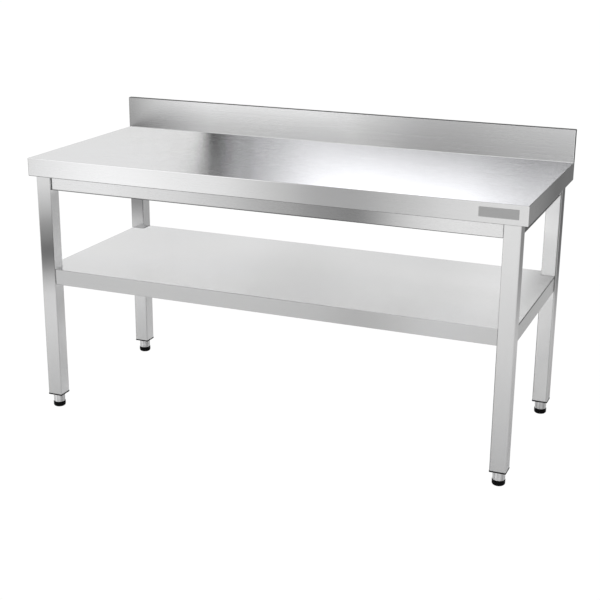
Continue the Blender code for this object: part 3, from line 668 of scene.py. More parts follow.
def plastic(name, color, rough, grain_scale, gloss):
    """Moulded plastic: fine spark-eroded texture, edges rubbed pale."""
    material, tree = new_material(name)
    place = tree.coordinate("Object")
    pits = tree.noise(place, grain_scale, detail=3.0, rough=0.6)
    cloud = tree.noise(place, scale=60.0, detail=3.0, rough=0.5)
    level = cloud.span((0.3, 0.7), to=(0.85, 1.25)) + tree.bend() * 0.5
    tree.finish(tree.principled(
        Base_Color=tree.shaded((*color, 1), level), Roughness=rough + pits.swing(0.20),
        IOR=1.46, Specular_IOR_Level=gloss,
        Normal=tree.bump(pits, strength=0.25, distance=0.0001)))
    return material


def particle_board(name):
    """Pressed wood chips: flakes of a few tones with resin-dark gaps."""
    material, tree = new_material(name)
    place = tree.coordinate("Object")
    stretched = tree.vector("MULTIPLY", place, (260.0, 420.0, 420.0))
    chips = tree.make("ShaderNodeTexVoronoi", {"Vector": stretched, "Scale": 1.0}, "Color",
                      feature="F1")
    flake = tree.split(chips)[0]
    dust = tree.noise(place, scale=900.0, detail=3.0, rough=0.6)
    color = tree.color_ramp(flake * 0.7 + dust * 0.3, [
        (0.0, (0.26, 0.165, 0.085, 1)), (0.45, (0.47, 0.33, 0.19, 1)),
        (1.0, (0.62, 0.46, 0.28, 1))])
    surface = tree.principled(
        Base_Color=color, Roughness=0.82,
        Normal=tree.bump(flake + dust, strength=0.35, distance=0.0004))
    tree.finish(leave_out(tree, surface, seen_from_below(tree, place)))
    return material


# ==================================================================== materials
# each tone paints reflection, light and shade into the base colour
TOP_STEEL = steel("worktop_brushed", "X", worktop_tone, rough=0.26, aniso=0.70, depth=0.45,
                  end_grain="Z", stain=0.6, hue=worktop_painted_cast, unmirrored=worktop_unmirrored)
APRON_STEEL = steel("apron_brushed", "X", apron_tone, rough=0.28, aniso=0.70, depth=0.5,
                    unmirrored=seen_from_below)
APRON_SIDE_STEEL = steel("apron_side_brushed", "Y", apron_side_tone, rough=0.28, aniso=0.70,
                         depth=0.5, unmirrored=seen_from_below)
SHELF_STEEL = steel("shelf_brushed", "X", shelf_tone, rough=0.24, aniso=0.45, depth=0.4,
                    end_grain="Z", stain=0.7)
LEG_STEEL = steel("leg_brushed", "Z", leg_tone, rough=0.24, aniso=0.65, depth=0.4,
                  bend_gain=0.0, unmirrored=leg_unmirrored)
CHANNEL_STEEL, CROSS_CHANNEL_STEEL = (
    steel(name, grain, quiet_tone(low=0.70, high=0.95), rough=0.40, aniso=0.35, depth=1.2,
          color=MILL_STEEL, unmirrored=seen_from_below)
    for name, grain in (("channel_mill", "X"), ("channel_mill_cross", "Y")))
PLATE_STEEL = steel("plate_brushed", "X", quiet_tone(low=0.50, high=0.62), rough=0.42,
                    aniso=0.50, depth=0.6, color=(0.50, 0.50, 0.50))
SLEEVE_STEEL = turned("sleeve_turned", color=(0.82, 0.82, 0.825), tone=sleeve_tone, rough=0.20)
BOLT_STEEL = turned("fastener_steel", color=(0.66, 0.66, 0.665),
                    tone=quiet_tone(low=0.55, high=0.95), rough=0.28)
STEM_STEEL = turned("stem_thread", color=(0.60, 0.60, 0.605),
                    tone=quiet_tone(low=0.50, high=0.85), rough=0.30)
PLUG_PLASTIC = plastic("plug_black", color=(0.0030, 0.0030, 0.0031), rough=0.50,
                       grain_scale=2600.0, gloss=0.05)
TIP_PLASTIC = plastic("tip_black", color=(0.0016, 0.0016, 0.0017), rough=0.42,
                      grain_scale=2200.0, gloss=0.03)
BOARD = particle_board("core_board")


# ================================================================= mesh helpers
def rounded_outline(half_x, half_y, radius, steps):
    """Rounded rectangle, anticlockwise from +X."""
    points = []
    for quarter, (side_x, side_y) in enumerate(((1, 1), (-1, 1), (-1, -1), (1, -1))):
        centre_x = side_x * (half_x - radius)
        centre_y = side_y * (half_y - radius)
        for i in range(steps + 1):
            angle = quarter * math.pi / 2 + i * math.pi / 2 / steps
            points.append((centre_x + radius * math.cos(angle),
                           centre_y + radius * math.sin(angle)))
    return points


def square_loop(centre, half, radius, z, steps):
    return [Vector((centre.x + x, centre.y + y, z))
            for x, y in rounded_outline(half, half, radius, steps)]


def ring(radius, z, count):
    angles = [2 * math.pi * i / count for i in range(count)]
    return [Vector((radius * math.cos(angle), radius * math.sin(angle), z))
            for angle in angles]


def loft(loops, closed=False):
    """Skins equal-count loops; closed joins the last to the first, otherwise
    both ends are capped."""
    solid = bmesh.new()
    rows = [[solid.verts.new(point) for point in loop] for loop in loops]
    pairs = list(zip(rows, rows[1:]))
    if closed:
        pairs.append((rows[-1], rows[0]))
    count = len(rows[0])
    for lower, upper in pairs:
        for i in range(count):
            j = (i + 1) % count
            solid.faces.new((lower[i], lower[j], upper[j], upper[i]))
    if not closed:
        solid.faces.new(list(reversed(rows[0])))
        solid.faces.new(rows[-1])
    return solid


def loft_round(name, loops, centre, closed=False):
    """Object lofted from loops about Z, moved to stand on centre's x and y."""
    solid = loft(loops, closed)
    bmesh.ops.translate(solid, vec=(centre.x, centre.y, 0), verts=solid.verts[:])
    return to_object(name, solid)


def prism(outline, start, length, axes):
    """Outline on the first two axes, drawn out along the third."""
    solid = bmesh.new()
    across, upward, along = (Vector(axis) for axis in axes)
    base = [solid.verts.new(across * u + upward * v + along * start) for u, v in outline]
    face = solid.faces.new(base)
    made = bmesh.ops.extrude_face_region(solid, geom=[face])
    moved = [part for part in made["geom"] if isinstance(part, bmesh.types.BMVert)]
    bmesh.ops.translate(solid, vec=along * length, verts=moved)
    return solid


def block(solid, low, high):
    """Adds a box and returns its edges."""
    low, high = Vector(low), Vector(high)
    made = bmesh.ops.create_cube(solid, size=1.0, matrix=Matrix.Translation((low + high) / 2)
                                 @ Matrix.Diagonal((*(high - low), 1.0)))
    return list({edge for vert in made["verts"] for edge in vert.link_edges})


def block_between(solid, one, other):
    """Adds a box between any two opposite corners."""
    pairs = list(zip(one, other))
    block(solid, [min(pair) for pair in pairs], [max(pair) for pair in pairs])


def drill(solid, centre, direction, radius=HOLE_R, segments=40):
    spin = Vector((0, 0, 1)).rotation_difference(Vector(direction)).to_matrix().to_4x4()
    bmesh.ops.create_cone(solid, cap_ends=True, cap_tris=False, segments=segments,
                          radius1=radius, radius2=radius, depth=DRILL_LENGTH,
                          matrix=Matrix.Translation(Vector(centre)) @ spin)


def round_over(solid, edges, radius, steps):
    bmesh.ops.bevel(solid, geom=edges, offset=radius, segments=steps, profile=0.5,
                    affect="EDGES", clamp_overlap=False)


def to_object(name, solid):
    bmesh.ops.recalc_face_normals(solid, faces=solid.faces[:])
    mesh = bpy.data.meshes.new(name)
    solid.to_mesh(mesh)
    solid.free()
    piece = bpy.data.objects.new(name, mesh)
    bpy.context.scene.collection.objects.link(piece)
    return piece


def cut(piece, tools, operation="DIFFERENCE"):
    """Applies the Booleans at once and throws the tools away."""
    for tool in tools:
        modifier = piece.modifiers.new("cut", "BOOLEAN")
        modifier.operation = operation
        modifier.object = tool
        modifier.solver = "EXACT"
        bpy.context.view_layer.update()
        graph = bpy.context.evaluated_depsgraph_get()
        mesh = bpy.data.meshes.new_from_object(piece.evaluated_get(graph))
        piece.modifiers.clear()
        old = piece.data
        piece.data = mesh
        mesh.name = old.name
        bpy.data.meshes.remove(old)
        bpy.data.objects.remove(tool, do_unlink=True)


def dress(piece, material, node, body="table", weighted=True):
    """Shading, material, body and the CAD node that the piece stands for."""
    mesh = piece.data
    mesh.materials.clear()
    mesh.materials.append(material)
    mesh.shade_smooth()
    mesh.set_sharp_from_angle(angle=math.radians(32))
    bend = mesh.attributes.new("bend", "FLOAT", "FACE")
    square = [max(abs(part) for part in face.normal) > 0.9995 for face in mesh.polygons]
    bend.data.foreach_set("value", [0.0 if flat else 1.0 for flat in square])
    if weighted:
        modifier = piece.modifiers.new("weighted", "WEIGHTED_NORMAL")
        modifier.keep_sharp = True
        modifier.weight = 80
    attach(piece, body)
    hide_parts(node)


# ====================================================================== worktop
def worktop_shell(inset, bottom, fillet, radius, steps):
    """The worktop's outer solid, or with an inset the hollow inside it.
    fillet rounds the corner where the surface turns up into the upstand."""
    lo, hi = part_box("worktop_sheet")
    front, face, back = lo.y + inset, hi.y - UPSTAND_T + inset, hi.y - inset
    surface, top = SURFACE - inset, hi.z - inset
    outline = [(front, bottom), (front, surface)]
    for i in range(6):
        angle = -math.pi / 2 + i * math.pi / 2 / 5
        outline.append((face - fillet + fillet * math.cos(angle),
                        surface + fillet + fillet * math.sin(angle)))
    outline += [(face, top), (back, top), (back, bottom)]
    half = hi.x - inset
    solid = prism(outline, -half, 2 * half, ((0, 1, 0), (0, 0, 1), (1, 0, 0)))
    bmesh.ops.recalc_face_normals(solid, faces=solid.faces[:])

    def on_fillet(edge):
        one, other = (vert.co for vert in edge.verts)
        return (abs(one.x - other.x) > 0.5
                and SURFACE - inset - 0.001 < one.z < SURFACE + 0.02
                and hi.y - UPSTAND_T - 0.01 < one.y < hi.y - 0.008)

    # the filleted corner is round already
    round_over(solid, [edge for edge in solid.edges if not on_fillet(edge)], radius, steps)
    return solid


def worktop():
    lo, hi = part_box("worktop_sheet")
    skin = to_object("worktop_skin", worktop_shell(0.0, lo.z, fillet=0.0016,
                                                   radius=TOP_R, steps=6))
    inner = to_object("tmp_inner", worktop_shell(TOP_T, lo.z + TOP_T, fillet=0.0026,
                                                 radius=TOP_R - TOP_T, steps=4))
    # opening underneath, inside the turned-in lip
    solid = bmesh.new()
    edges = block(solid, (-hi.x + TOP_LIP, lo.y + TOP_LIP, lo.z - 0.005),
                  (hi.x - TOP_LIP, hi.y - TOP_LIP, lo.z + TOP_T + 0.002))
    upright = [edge for edge in edges
               if abs(edge.verts[0].co.z - edge.verts[1].co.z) > 0.004]
    round_over(solid, upright, radius=0.004, steps=5)
    cut(skin, [inner, to_object("tmp_mouth", solid)])
    dress(skin, TOP_STEEL, "worktop_sheet")


def soften(points, radii):
    """Open line with each inner corner rounded to its radius."""
    line = [points[0]]
    for i in range(1, len(points) - 1):
        before, corner, after = (Vector(points[i + step]) for step in (-1, 0, 1))
        back, ahead = (before - corner).normalized(), (after - corner).normalized()
        radius = radii[i]
        centre = corner + (back + ahead) * radius
        start, end = corner + back * radius, corner + ahead * radius
        for k in range(6):
            spoke = (start - centre).lerp(end - centre, k / 5).normalized() * radius
            line.append(tuple(centre + spoke))
    line.append(points[-1])
    return line


def hat_outline(depth):
    """Top hat section with its four bends rounded; the flanges' upper faces
    are at 0 and the web lies depth below."""
    wall, bend = CHANNEL_T, CHANNEL_R
    half = CHANNEL_W / 2
    reach = half + CHANNEL_FLANGE
    inside = half - wall
    lower = soften([(-reach, -wall), (-half, -wall), (-half, -depth),
                    (half, -depth), (half, -wall), (reach, -wall)],
                   [0, bend, bend + wall, bend + wall, bend, 0])
    upper = soften([(-reach, 0.0), (-inside, 0.0), (-inside, -depth + wall),
                    (inside, -depth + wall), (inside, 0.0), (reach, 0.0)],
                   [0, bend + wall, bend, bend, bend + wall, 0])
    return lower + upper[::-1]


def channel(name, node, run, material):
    """Channel along axis number run, X or Y."""
    lo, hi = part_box(node)
    across = 1 - run
    axes = [Vector((0, 0, 0)) for _ in range(3)]
    for axis, number in zip(axes, (across, 2, run)):
        axis[number] = 1
    solid = prism(hat_outline(hi.z - lo.z), lo[run], hi[run] - lo[run], axes)
    shift = Vector((0, 0, hi.z))
    shift[across] = (lo[across] + hi[across]) / 2
    bmesh.ops.translate(solid, vec=shift, verts=solid.verts[:])
    dress(to_object(name, solid), material, node)


def channels():
    for side in ("left", "right"):
        channel("worktop_rib_" + side, "worktop_channel_" + side, 1, CROSS_CHANNEL_STEEL)
    channel("undershelf_rib", "undershelf_channel", 0, CHANNEL_STEEL)


# ======================================================================== frame
def leg(name, side_x, side_y):
    lo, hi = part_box("leg_" + name)
    centre = (lo + hi) / 2
    half = (hi.x - lo.x) / 2
    ease = 0.0003
    # (inset, height): saw-cut ends with the burr broken, outside then inside
    profile = [(ease, lo.z), (0.0, lo.z + ease), (0.0, hi.z - ease), (ease, hi.z),
               (LEG_T, hi.z), (LEG_T, lo.z)]
    loops = [square_loop(centre, half - inset, LEG_R - inset, z, steps=8)
             for inset, z in profile]
    tube = to_object("leg_tube_" + name, loft(loops, closed=True))
    holes = bmesh.new()
    wall = half - LEG_T / 2
    drill(holes, (centre.x - side_x * wall, centre.y, LONG_BOLT_Z), (1, 0, 0))
    drill(holes, (centre.x, centre.y - side_y * wall, SIDE_BOLT_Z), (0, 1, 0))
    drill(holes, (centre.x - side_x * wall, centre.y, SHELF_BOLT_Z), (1, 0, 0))
    cut(tube, [to_object("tmp_drill", holes)])
    dress(tube, LEG_STEEL, "leg_" + name)


def apron(name, face, long, turn, bolt_z, material):
    """Rail open to the inside, built with its outer face on y = 0 and its
    hollow towards +Y, then turned and moved to face, the outer face's place."""
    lo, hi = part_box("apron_" + name)
    size = hi - lo
    length, depth = (size.x, size.y) if long else (size.y, size.x)
    half = length / 2
    place = Matrix.Translation((*face, 0)) @ Matrix.Rotation(turn, 4, "Z")

    def tray(inset, overrun, radius, steps):
        solid = bmesh.new()
        edges = block(solid, (-half + inset, inset, lo.z + inset),
                      (half - inset, depth + overrun, hi.z - inset))
        outer = [edge for edge in edges
                 if min(vert.co.y for vert in edge.verts) < inset + 1e-6]
        round_over(solid, outer, radius, steps)
        solid.transform(place)
        return solid

    rail = to_object("apron_rail_" + name, tray(0.0, 0.0, APRON_R, steps=7))
    hollow = to_object("tmp_hollow", tray(APRON_T, OVERCUT, APRON_R - APRON_T, steps=5))
    # the end holes lie on the leg's middle
    leg_lo, leg_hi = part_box("leg_front_left")
    set_back = lo.y - leg_lo.y if name == "front" else 0.008
    hole_y = (leg_hi.y - leg_lo.y) / 2 - set_back
    holes = bmesh.new()
    for side in (-1, 1):
        drill(holes, (side * (half - APRON_T / 2), hole_y, bolt_z), (1, 0, 0))
    if long:
        screw_lo, screw_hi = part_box("worktop_screw_front_right")
        screw_x = (screw_lo.x + screw_hi.x) / 2
        for side in (-1, 1):
            drill(holes, (side * screw_x, 0.013, hi.z - APRON_T / 2), (0, 0, 1),
                  radius=0.0024, segments=24)
    holes.transform(place)
    cut(rail, [hollow, to_object("tmp_drill", holes)])
    dress(rail, material, "apron_" + name)


def aprons():
    for name, turn in (("front", 0.0), ("rear", math.pi)):
        lo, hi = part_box("apron_" + name)
        face = (0, lo.y if name == "front" else hi.y)
        apron(name, face, True, turn, LONG_BOLT_Z, APRON_STEEL)
    for name, turn in (("left", -math.pi / 2), ("right", math.pi / 2)):
        lo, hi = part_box("apron_" + name)
        face = (lo.x if name == "left" else hi.x, (lo.y + hi.y) / 2)
        apron(name, face, False, turn, SIDE_BOLT_Z, APRON_SIDE_STEEL)


def shelf_tray(inset, bottom, radius, steps):
    lo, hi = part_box("undershelf")
    solid = bmesh.new()
    edges = block(solid, (lo.x + inset, lo.y + inset, bottom),
                  (hi.x - inset, hi.y - inset, hi.z - inset))
    round_over(solid, edges, radius, steps)
    return solid


def shelf():
    """Tray with a turned-in lip, notched round the legs, with a bolted tab
    against each leg's inner face."""
    lo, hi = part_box("undershelf")
    low, high = lo.z - OVERCUT, hi.z + OVERCUT
    tab_gap, leg_gap = 0.0004, 0.0015
    deck = to_object("undershelf_tray", shelf_tray(0.0, lo.z, SHELF_R, steps=6))
    hollow = to_object("tmp_hollow", shelf_tray(SHELF_T, lo.z + SHELF_T,
                                                SHELF_R - SHELF_T, steps=4))
    mouth = bmesh.new()
    block(mouth, (lo.x + SHELF_LIP, lo.y + SHELF_LIP, lo.z - 0.005),
          (hi.x - SHELF_LIP, hi.y - SHELF_LIP, lo.z + SHELF_T + 0.002))
    mouth = to_object("tmp_mouth", mouth)
    notch, ends, tabs, holes = (bmesh.new() for _ in range(4))
    for name, (side_x, side_y) in CORNERS.items():
        leg_lo, leg_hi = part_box("leg_" + name)
        inner_x = leg_hi.x if side_x < 0 else leg_lo.x
        outer_y = leg_lo.y if side_y < 0 else leg_hi.y
        edge_y = lo.y if side_y < 0 else hi.y
        beyond_x = side_x * (hi.x + OVERCUT)
        width = leg_hi.y - leg_lo.y
        tab_x = inner_x - side_x * tab_gap
        # room for the leg behind the long edge
        block_between(notch,
                      (inner_x - side_x * leg_gap, edge_y - side_y * (SHELF_T + 0.0012), low),
                      (beyond_x, outer_y - side_y * (width + leg_gap), high))
        # the long edge stops at the leg
        block_between(ends,
                      (tab_x, edge_y + side_y * OVERCUT, low),
                      (beyond_x, edge_y - side_y * (SHELF_T + 0.0022), high))
        block_between(tabs,
                      (tab_x, edge_y - side_y * 0.0005, lo.z + SHELF_T + 0.0015),
                      (inner_x - side_x * (tab_gap + SHELF_T), outer_y - side_y * 0.045,
                       hi.z - SHELF_T - 0.0010))
        drill(holes, (inner_x - side_x * (tab_gap + SHELF_T / 2),
                      (leg_lo.y + leg_hi.y) / 2, SHELF_BOLT_Z), (1, 0, 0))
    cut(deck, [hollow, mouth, to_object("tmp_notch", notch), to_object("tmp_ends", ends)])
    cut(deck, [to_object("tmp_tabs", tabs)], "UNION")
    cut(deck, [to_object("tmp_holes", holes)])
    dress(deck, SHELF_STEEL, "undershelf")


# ==================================================================== fasteners
BOLT_R, BOLT_PITCH, BOLT_HEAD = 0.0040, 0.00125, 0.0053
BOLT_THREAD = 0.00068                  # depth
HEX_FLATS = 0.013                      # width across the flats
HEX_R = HEX_FLATS / 2
HEX_STEPS = 48
CHAMFER_SLOPE = 0.58
NUT_BORE = 0.00415
SCREW_HEAD, SCREW_HEAD_R, SCREW_STEPS = 0.0024, 0.0042, 32
SCREW_THREAD_R, SCREW_THREAD, SCREW_PITCH = 0.0020, 0.00045, 0.0018


def hex_loop(flats, z_of):
    """Hexagon whose height z_of follows from the distance to the axis."""
    points = []
    for i in range(HEX_STEPS):
        angle = 2 * math.pi * i / HEX_STEPS
        sector = (angle + math.pi / 6) % (math.pi / 3) - math.pi / 6
        radius = flats / 2 / math.cos(sector)
        points.append(Vector((radius * math.cos(angle), radius * math.sin(angle),
                              z_of(radius))))
    return points


def thread_loops(radius, depth, pitch, start, end, count, per_turn):
    """Loops up a screw thread: the crest climbs one pitch a turn."""
    loops = []
    rows = max(2, int(round((end - start) / (pitch / per_turn))))
    for k in range(rows + 1):
        z = start + (end - start) * k / rows
        fade = min(1.0, (z - start) / pitch, (end - z) / pitch + 0.15)
        points = []
        for i in range(count):
            angle = 2 * math.pi * i / count
            phase = ((z - start) / pitch - i / count) % 1.0
            height = abs(phase * 2 - 1)                  # 0 at root, 1 at crest
            # flatten root and crest
            height = min(1.0, max(0.0, (height - 0.12) / 0.72))
            reach = radius - depth * (1 - height) * max(0.0, fade)
            points.append(Vector((reach * math.cos(angle), reach * math.sin(angle), z)))
        loops.append(points)
    return loops


def bolt(shank):
    """Hexagon bolt, bearing face at z = 0, shank to +Z."""
    top = -BOLT_HEAD
    chamfer = HEX_R * 0.95
    head = [ring(0.0022, top + 0.0002, HEX_STEPS), ring(HEX_R * 0.80, top + 0.0002, HEX_STEPS),
            ring(HEX_R * 0.86, top, HEX_STEPS), ring(chamfer, top, HEX_STEPS),
            hex_loop(HEX_FLATS, lambda radius: top + (radius - chamfer) * CHAMFER_SLOPE),
            hex_loop(HEX_FLATS, lambda radius: -0.0006),
            hex_loop(HEX_FLATS - 0.0003, lambda radius: -0.0003)]
    # washer face and the root of the shank
    neck = [ring(radius, z, HEX_STEPS) for radius, z in (
        (HEX_R * 0.94, -0.0003), (HEX_R * 0.93, 0.0), (BOLT_R + 0.0003, 0.0),
        (BOLT_R, 0.0003))]
    thread = thread_loops(BOLT_R, BOLT_THREAD, BOLT_PITCH, 0.0012, shank - 0.0010,
                          HEX_STEPS, per_turn=7)
    return loft(head + neck + thread + [ring(BOLT_R - 0.0009, shank, HEX_STEPS)])


def nut(height):
    chamfer = HEX_R * 0.96
    ease = 0.0005
    bore = [ring(radius, z, HEX_STEPS) for radius, z in (
        (NUT_BORE + ease, height), (NUT_BORE, height - ease), (NUT_BORE, ease),
        (NUT_BORE + ease, 0.0))]
    return loft([
        ring(chamfer, 0.0, HEX_STEPS),
        hex_loop(HEX_FLATS, lambda radius: (radius - chamfer) * CHAMFER_SLOPE),
        hex_loop(HEX_FLATS, lambda radius: height - (radius - chamfer) * CHAMFER_SLOPE),
        ring(chamfer, height, HEX_STEPS)] + bore, closed=True)


def screw(length):
    """Round-headed screw, bearing face at z = 0, point to +Z."""
    loops = [ring(0.0006, -SCREW_HEAD, SCREW_STEPS)]
    for k in range(1, 8):
        angle = k / 7 * math.pi / 2
        z = -SCREW_HEAD + (SCREW_HEAD - 0.0006) * (1 - math.cos(angle))
        loops.append(ring(SCREW_HEAD_R * math.sin(angle), z, SCREW_STEPS))
    loops += [ring(SCREW_HEAD_R, 0.0, SCREW_STEPS), ring(0.0021, 0.0, SCREW_STEPS)]
    loops += thread_loops(SCREW_THREAD_R, SCREW_THREAD, SCREW_PITCH, 0.0006,
                          length - 0.0030, SCREW_STEPS, per_turn=7)
    loops.append(ring(0.0003, length, SCREW_STEPS))
    return loft(loops)


def bolt_and_nut(kind, corner, axis, side):
    """axis is 0 for X or 1 for Y; the bolt points outwards, to side."""
    outward = Vector((0, 0, 0))
    outward[axis] = side
    turn = Vector((0, 0, 1)).rotation_difference(outward).to_matrix().to_4x4()
    for part in ("bolt", "nut"):
        node = f"{kind}_{part}_{corner}"
        lo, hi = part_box(node)
        length = hi[axis] - lo[axis]
        seat = (lo + hi) / 2
        seat[axis] = lo[axis] if side > 0 else hi[axis]
        if part == "bolt":
            seat[axis] += side * BOLT_HEAD
            solid = bolt(length - BOLT_HEAD)
        else:
            solid = nut(length)
        solid.transform(Matrix.Translation(seat) @ turn)
        piece = to_object(f"{kind}_hex_{part}_{corner}", solid)
        dress(piece, BOLT_STEEL, node, weighted=False)


def board_screw(corner):
    """Screw up into the worktop's board, with a cross recess in its head."""
    node = "worktop_screw_" + corner
    lo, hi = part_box(node)
    seat = (lo + hi) / 2
    seat.z = lo.z + SCREW_HEAD
    solid = screw(hi.z - seat.z)
    solid.transform(Matrix.Translation(seat))
    piece = to_object("board_screw_" + corner, solid)
    for angle in (0.6, 0.6 + math.pi / 2):
        slot = bmesh.new()
        block(slot, (-0.0022, -0.00045, -0.001), (0.0022, 0.00045, 0.0012))
        slot.transform(Matrix.Translation((seat.x, seat.y, lo.z))
                       @ Matrix.Rotation(angle, 4, "Z"))
        cut(piece, [to_object("tmp_slot", slot)])
    dress(piece, BOLT_STEEL, node, weighted=False)


def fasteners():
    for corner, (side_x, side_y) in CORNERS.items():
        bolt_and_nut("long_apron", corner, 0, side_x)
        bolt_and_nut("side_apron", corner, 1, side_y)
        bolt_and_nut("shelf", corner, 0, side_x)
        board_screw(corner)


# ========================================================================= feet
PLUG_FLANGE = 0.004
PLUG_BODY = 0.0462 / 2                 # half width inside the tube
PLUG_STEPS = 10
BORE_R, WIDE_BORE_R = 0.0063, 0.0195   # for the stem, for the sleeve
WIDE_BORE_DEPTH = 0.050                # from the leg's lower end
STEM_PITCH, STEM_THREAD, STEM_STEPS = 0.00175, 0.0010, 28
SLEEVE_T = 0.0015
GROOVE_Z = 0.0042                      # groove above the sleeve's lower end
GROOVE = 0.0003                        # depth of the turned and moulded grooves
TIP_PAD_R = 0.0130
FOOT_STEPS = 96


def foot_plug(corner):
    """Flange under the tube, body inside it, stepped bore."""
    node = "leg_plug_" + corner
    lo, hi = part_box(node)
    centre = (lo + hi) / 2
    half = (hi.x - lo.x) / 2
    flange_top = lo.z + PLUG_FLANGE
    bore_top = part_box("leg_" + corner)[0].z + WIDE_BORE_DEPTH
    ease = 0.0005
    # (half width, corner radius, height) of the outside, from the bottom
    outside = [(half - ease, 0.0036, lo.z), (half - ease * 0.3, 0.0039, lo.z + ease * 0.3),
               (half, 0.004, lo.z + ease), (half, 0.004, flange_top - ease * 0.6),
               (half - ease * 0.6, 0.0037, flange_top), (PLUG_BODY, 0.0026, flange_top),
               (PLUG_BODY, 0.0026, hi.z - 0.004), (PLUG_BODY - 0.0008, 0.0026, hi.z - 0.0003),
               (PLUG_BODY - 0.0012, 0.0026, hi.z)]
    # (radius, height) of the bore, from the top
    bore = [(BORE_R + 0.0005, hi.z), (BORE_R, hi.z - 0.0005), (BORE_R, bore_top),
            (WIDE_BORE_R, bore_top), (WIDE_BORE_R, lo.z + 0.0006),
            (WIDE_BORE_R + 0.0006, lo.z)]
    # the bore's points lie at the bearings of the square's
    angles = [math.atan2(y, x) for x, y in rounded_outline(half, half, 0.004, PLUG_STEPS)]
    loops = [square_loop(centre, *row, PLUG_STEPS) for row in outside]
    loops += [[Vector((centre.x + radius * math.cos(angle),
                       centre.y + radius * math.sin(angle), z)) for angle in angles]
              for radius, z in bore]
    plug = to_object("foot_plug_" + corner, loft(loops, closed=True))
    dress(plug, PLUG_PLASTIC, node)


def foot_stem(corner):
    node = "foot_stem_" + corner
    lo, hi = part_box(node)
    radius = (hi.x - lo.x) / 2
    loops = [ring(radius - 0.0012, lo.z, STEM_STEPS),
             ring(radius - 0.0002, lo.z + 0.0010, STEM_STEPS)]
    loops += thread_loops(radius, STEM_THREAD, STEM_PITCH, lo.z + 0.0012, hi.z - 0.0012,
                          STEM_STEPS, per_turn=6)
    loops += [ring(radius - 0.0012, hi.z, STEM_STEPS)]
    stem = loft_round("foot_thread_" + corner, loops, (lo + hi) / 2)
    dress(stem, STEM_STEEL, node, "foot_lift_" + corner, weighted=False)


def foot_sleeve(corner):
    """Rolled lower edge, turned groove, eased mouth."""
    node = "foot_sleeve_" + corner
    lo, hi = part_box(node)
    outer = (hi.x - lo.x) / 2
    inner = outer - SLEEVE_T
    groove = lo.z + GROOVE_Z
    ease = 0.0002
    # (radius, height), up the outside and down the inside
    profile = [(inner + ease, lo.z), (outer - 0.0006, lo.z),
               (outer - 0.00018, lo.z + 0.00018), (outer, lo.z + 0.0006),
               (outer, groove - 0.0006), (outer - GROOVE, groove - 0.0003),
               (outer - GROOVE, groove + 0.0003), (outer, groove + 0.0006),
               (outer, hi.z - 0.0008), (outer - 0.00025, hi.z - 0.00025),
               (outer - 0.0007, hi.z), (inner + ease, hi.z),
               (inner, hi.z - ease), (inner, lo.z + ease)]
    loops = [ring(radius, z, FOOT_STEPS) for radius, z in profile]
    sleeve = loft_round("foot_barrel_" + corner, loops, (lo + hi) / 2, closed=True)
    dress(sleeve, SLEEVE_STEEL, node, "foot_" + corner, weighted=False)


def foot_tip(corner):
    """Moulded tip: slightly dished pad, full round shoulder, grooved rim and
    a neck inside the sleeve."""
    node = "foot_tip_" + corner
    lo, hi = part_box(node)
    outer = (hi.x - lo.x) / 2
    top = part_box("foot_sleeve_" + corner)[0].z - 0.0003
    shoulder = outer - TIP_PAD_R
    # (radius, height), from the dish outwards and up to the stem's socket
    profile = [(0.0015, lo.z + 0.0010), (0.0090, lo.z + 0.0010), (0.0100, lo.z + 0.0002),
               (0.0106, lo.z), (TIP_PAD_R, lo.z)]
    for k in range(1, 13):
        angle = -math.pi / 2 + k / 12 * math.pi / 2
        profile.append((TIP_PAD_R + shoulder * math.cos(angle),
                        lo.z + shoulder + shoulder * math.sin(angle)))
    profile += [(outer, top - 0.0030), (outer - GROOVE, top - 0.0027),
                (outer - GROOVE, top - 0.0021), (outer, top - 0.0018),
                (outer, top - 0.0010), (outer - 0.0003, top - 0.0003),
                (outer - 0.0010, top), (0.0172, top), (0.0172, hi.z - 0.0010),
                (0.0162, hi.z), (0.0066, hi.z), (0.0062, hi.z - 0.0005),
                (0.0062, lo.z + 0.008), (0.0015, lo.z + 0.008)]
    loops = [ring(radius, z, FOOT_STEPS) for radius, z in profile]
    tip = loft_round("foot_pad_" + corner, loops, (lo + hi) / 2)
    dress(tip, TIP_PLASTIC, node, "foot_" + corner, weighted=False)


# ======================================================================== plate
def plate():
    """Blank name plate: thin, with a fine raised border and eased corners."""
    lo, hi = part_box("name_plate")
    centre_x, centre_z = (lo.x + hi.x) / 2, (lo.z + hi.z) / 2
    half_x, half_z = (hi.x - lo.x) / 2, (hi.z - lo.z) / 2
    ease, sunk = 0.00012, lo.y + 0.0001
    # (inset, y, corner radius), from the back to the sunk middle of the front
    profile = [(0, hi.y, 0.001), (0, lo.y + ease, 0.001), (ease, lo.y, 0.0009),
               (0.0011, lo.y, 0.0006), (0.0014, sunk, 0.0005), (0.004, sunk, 0.0004)]
    loops = [[Vector((centre_x + x, y, centre_z + z))
              for x, z in rounded_outline(half_x - inset, half_z - inset, radius, 6)]
             for inset, y, radius in profile]
    dress(to_object("front_plate", loft(loops)), PLATE_STEEL, "name_plate")


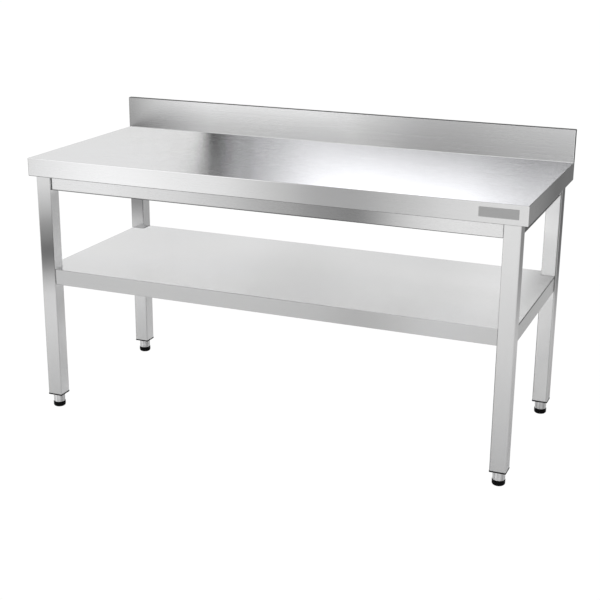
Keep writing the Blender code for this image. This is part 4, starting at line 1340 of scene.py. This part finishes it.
# ========================================================================= stage
def floor_material():
    """Pale floor, exposed to plain white for the camera alone and open from
    underneath."""
    material, tree = new_material("pale_floor")
    cloud = tree.noise(tree.coordinate("Object"), scale=0.8, detail=2.0, rough=0.5)
    color = tree.grey(cloud.span((0.3, 0.7), to=(0.90, 0.92)))
    surface = tree.principled(Base_Color=color, Roughness=0.85, Specular_IOR_Level=0.2)
    camera_ray = tree.light_path("Is Camera Ray")
    glow = tree.make("ShaderNodeEmission", {"Strength": 1.02})
    clear = tree.make("ShaderNodeBsdfTransparent", {})
    seen = tree.make("ShaderNodeMixShader", {0: camera_ray, 1: surface, 2: glow})
    underneath = camera_ray * tree.geometry("Backfacing")
    tree.finish(tree.make("ShaderNodeMixShader", {0: underneath, 1: seen, 2: clear}))
    return material


def studio_floor():
    solid = bmesh.new()
    bmesh.ops.create_grid(solid, x_segments=1, y_segments=1, size=20.0)
    floor = to_object("studio_floor", solid)
    # low enough for the feet at the end of their travel
    floor.location = (0, 0, -0.026)
    floor.data.materials.append(floor_material())


def studio_world():
    world = bpy.data.worlds.new("studio")
    bpy.context.scene.world = world
    world.use_nodes = True
    tree = Tree(world.node_tree)
    light = tree.make("ShaderNodeBackground", {"Color": (1.0, 1.0, 1.0, 1), "Strength": 1.25})
    tree.finish(light, "ShaderNodeOutputWorld")


def key_light():
    """Soft lamp above the front left, kept out of mirror images."""
    lamp = bpy.data.lights.new("key", "AREA")
    lamp.shape = "RECTANGLE"
    lamp.size, lamp.size_y = 3.0, 2.0
    lamp.energy = 60.0
    key = bpy.data.objects.new("key", lamp)
    bpy.context.scene.collection.objects.link(key)
    key.location = (-2.2, -2.4, 3.2)
    key.visible_glossy = False
    aim = Vector((0, 0, 0.5)) - Vector(key.location)
    key.rotation_euler = aim.to_track_quat("-Z", "Y").to_euler()


def camera():
    """From the front right, a little above the worktop."""
    lens = bpy.data.cameras.new("camera")
    lens.sensor_width = 36.0
    lens.lens = 73.61
    lens.clip_end = 100.0
    view = bpy.data.objects.new("camera", lens)
    bpy.context.scene.collection.objects.link(view)
    view.location = (1.4510, -3.5429, 1.6161)
    view.rotation_euler = (1.25958, -0.00782, 0.39120)
    bpy.context.scene.camera = view
    bpy.context.scene.view_settings.view_transform = "Standard"


worktop()
channels()
for corner, sides in CORNERS.items():
    leg(corner, *sides)
aprons()
shelf()
fasteners()
for corner in CORNERS:
    foot_plug(corner)
    foot_stem(corner)
    foot_sleeve(corner)
    foot_tip(corner)
plate()
core_board = frame["nodes"]["worktop_core_board"]
core_board.data.materials.clear()
core_board.data.materials.append(BOARD)

studio_floor()
studio_world()
key_light()
camera()
bpy.context.view_layer.update()
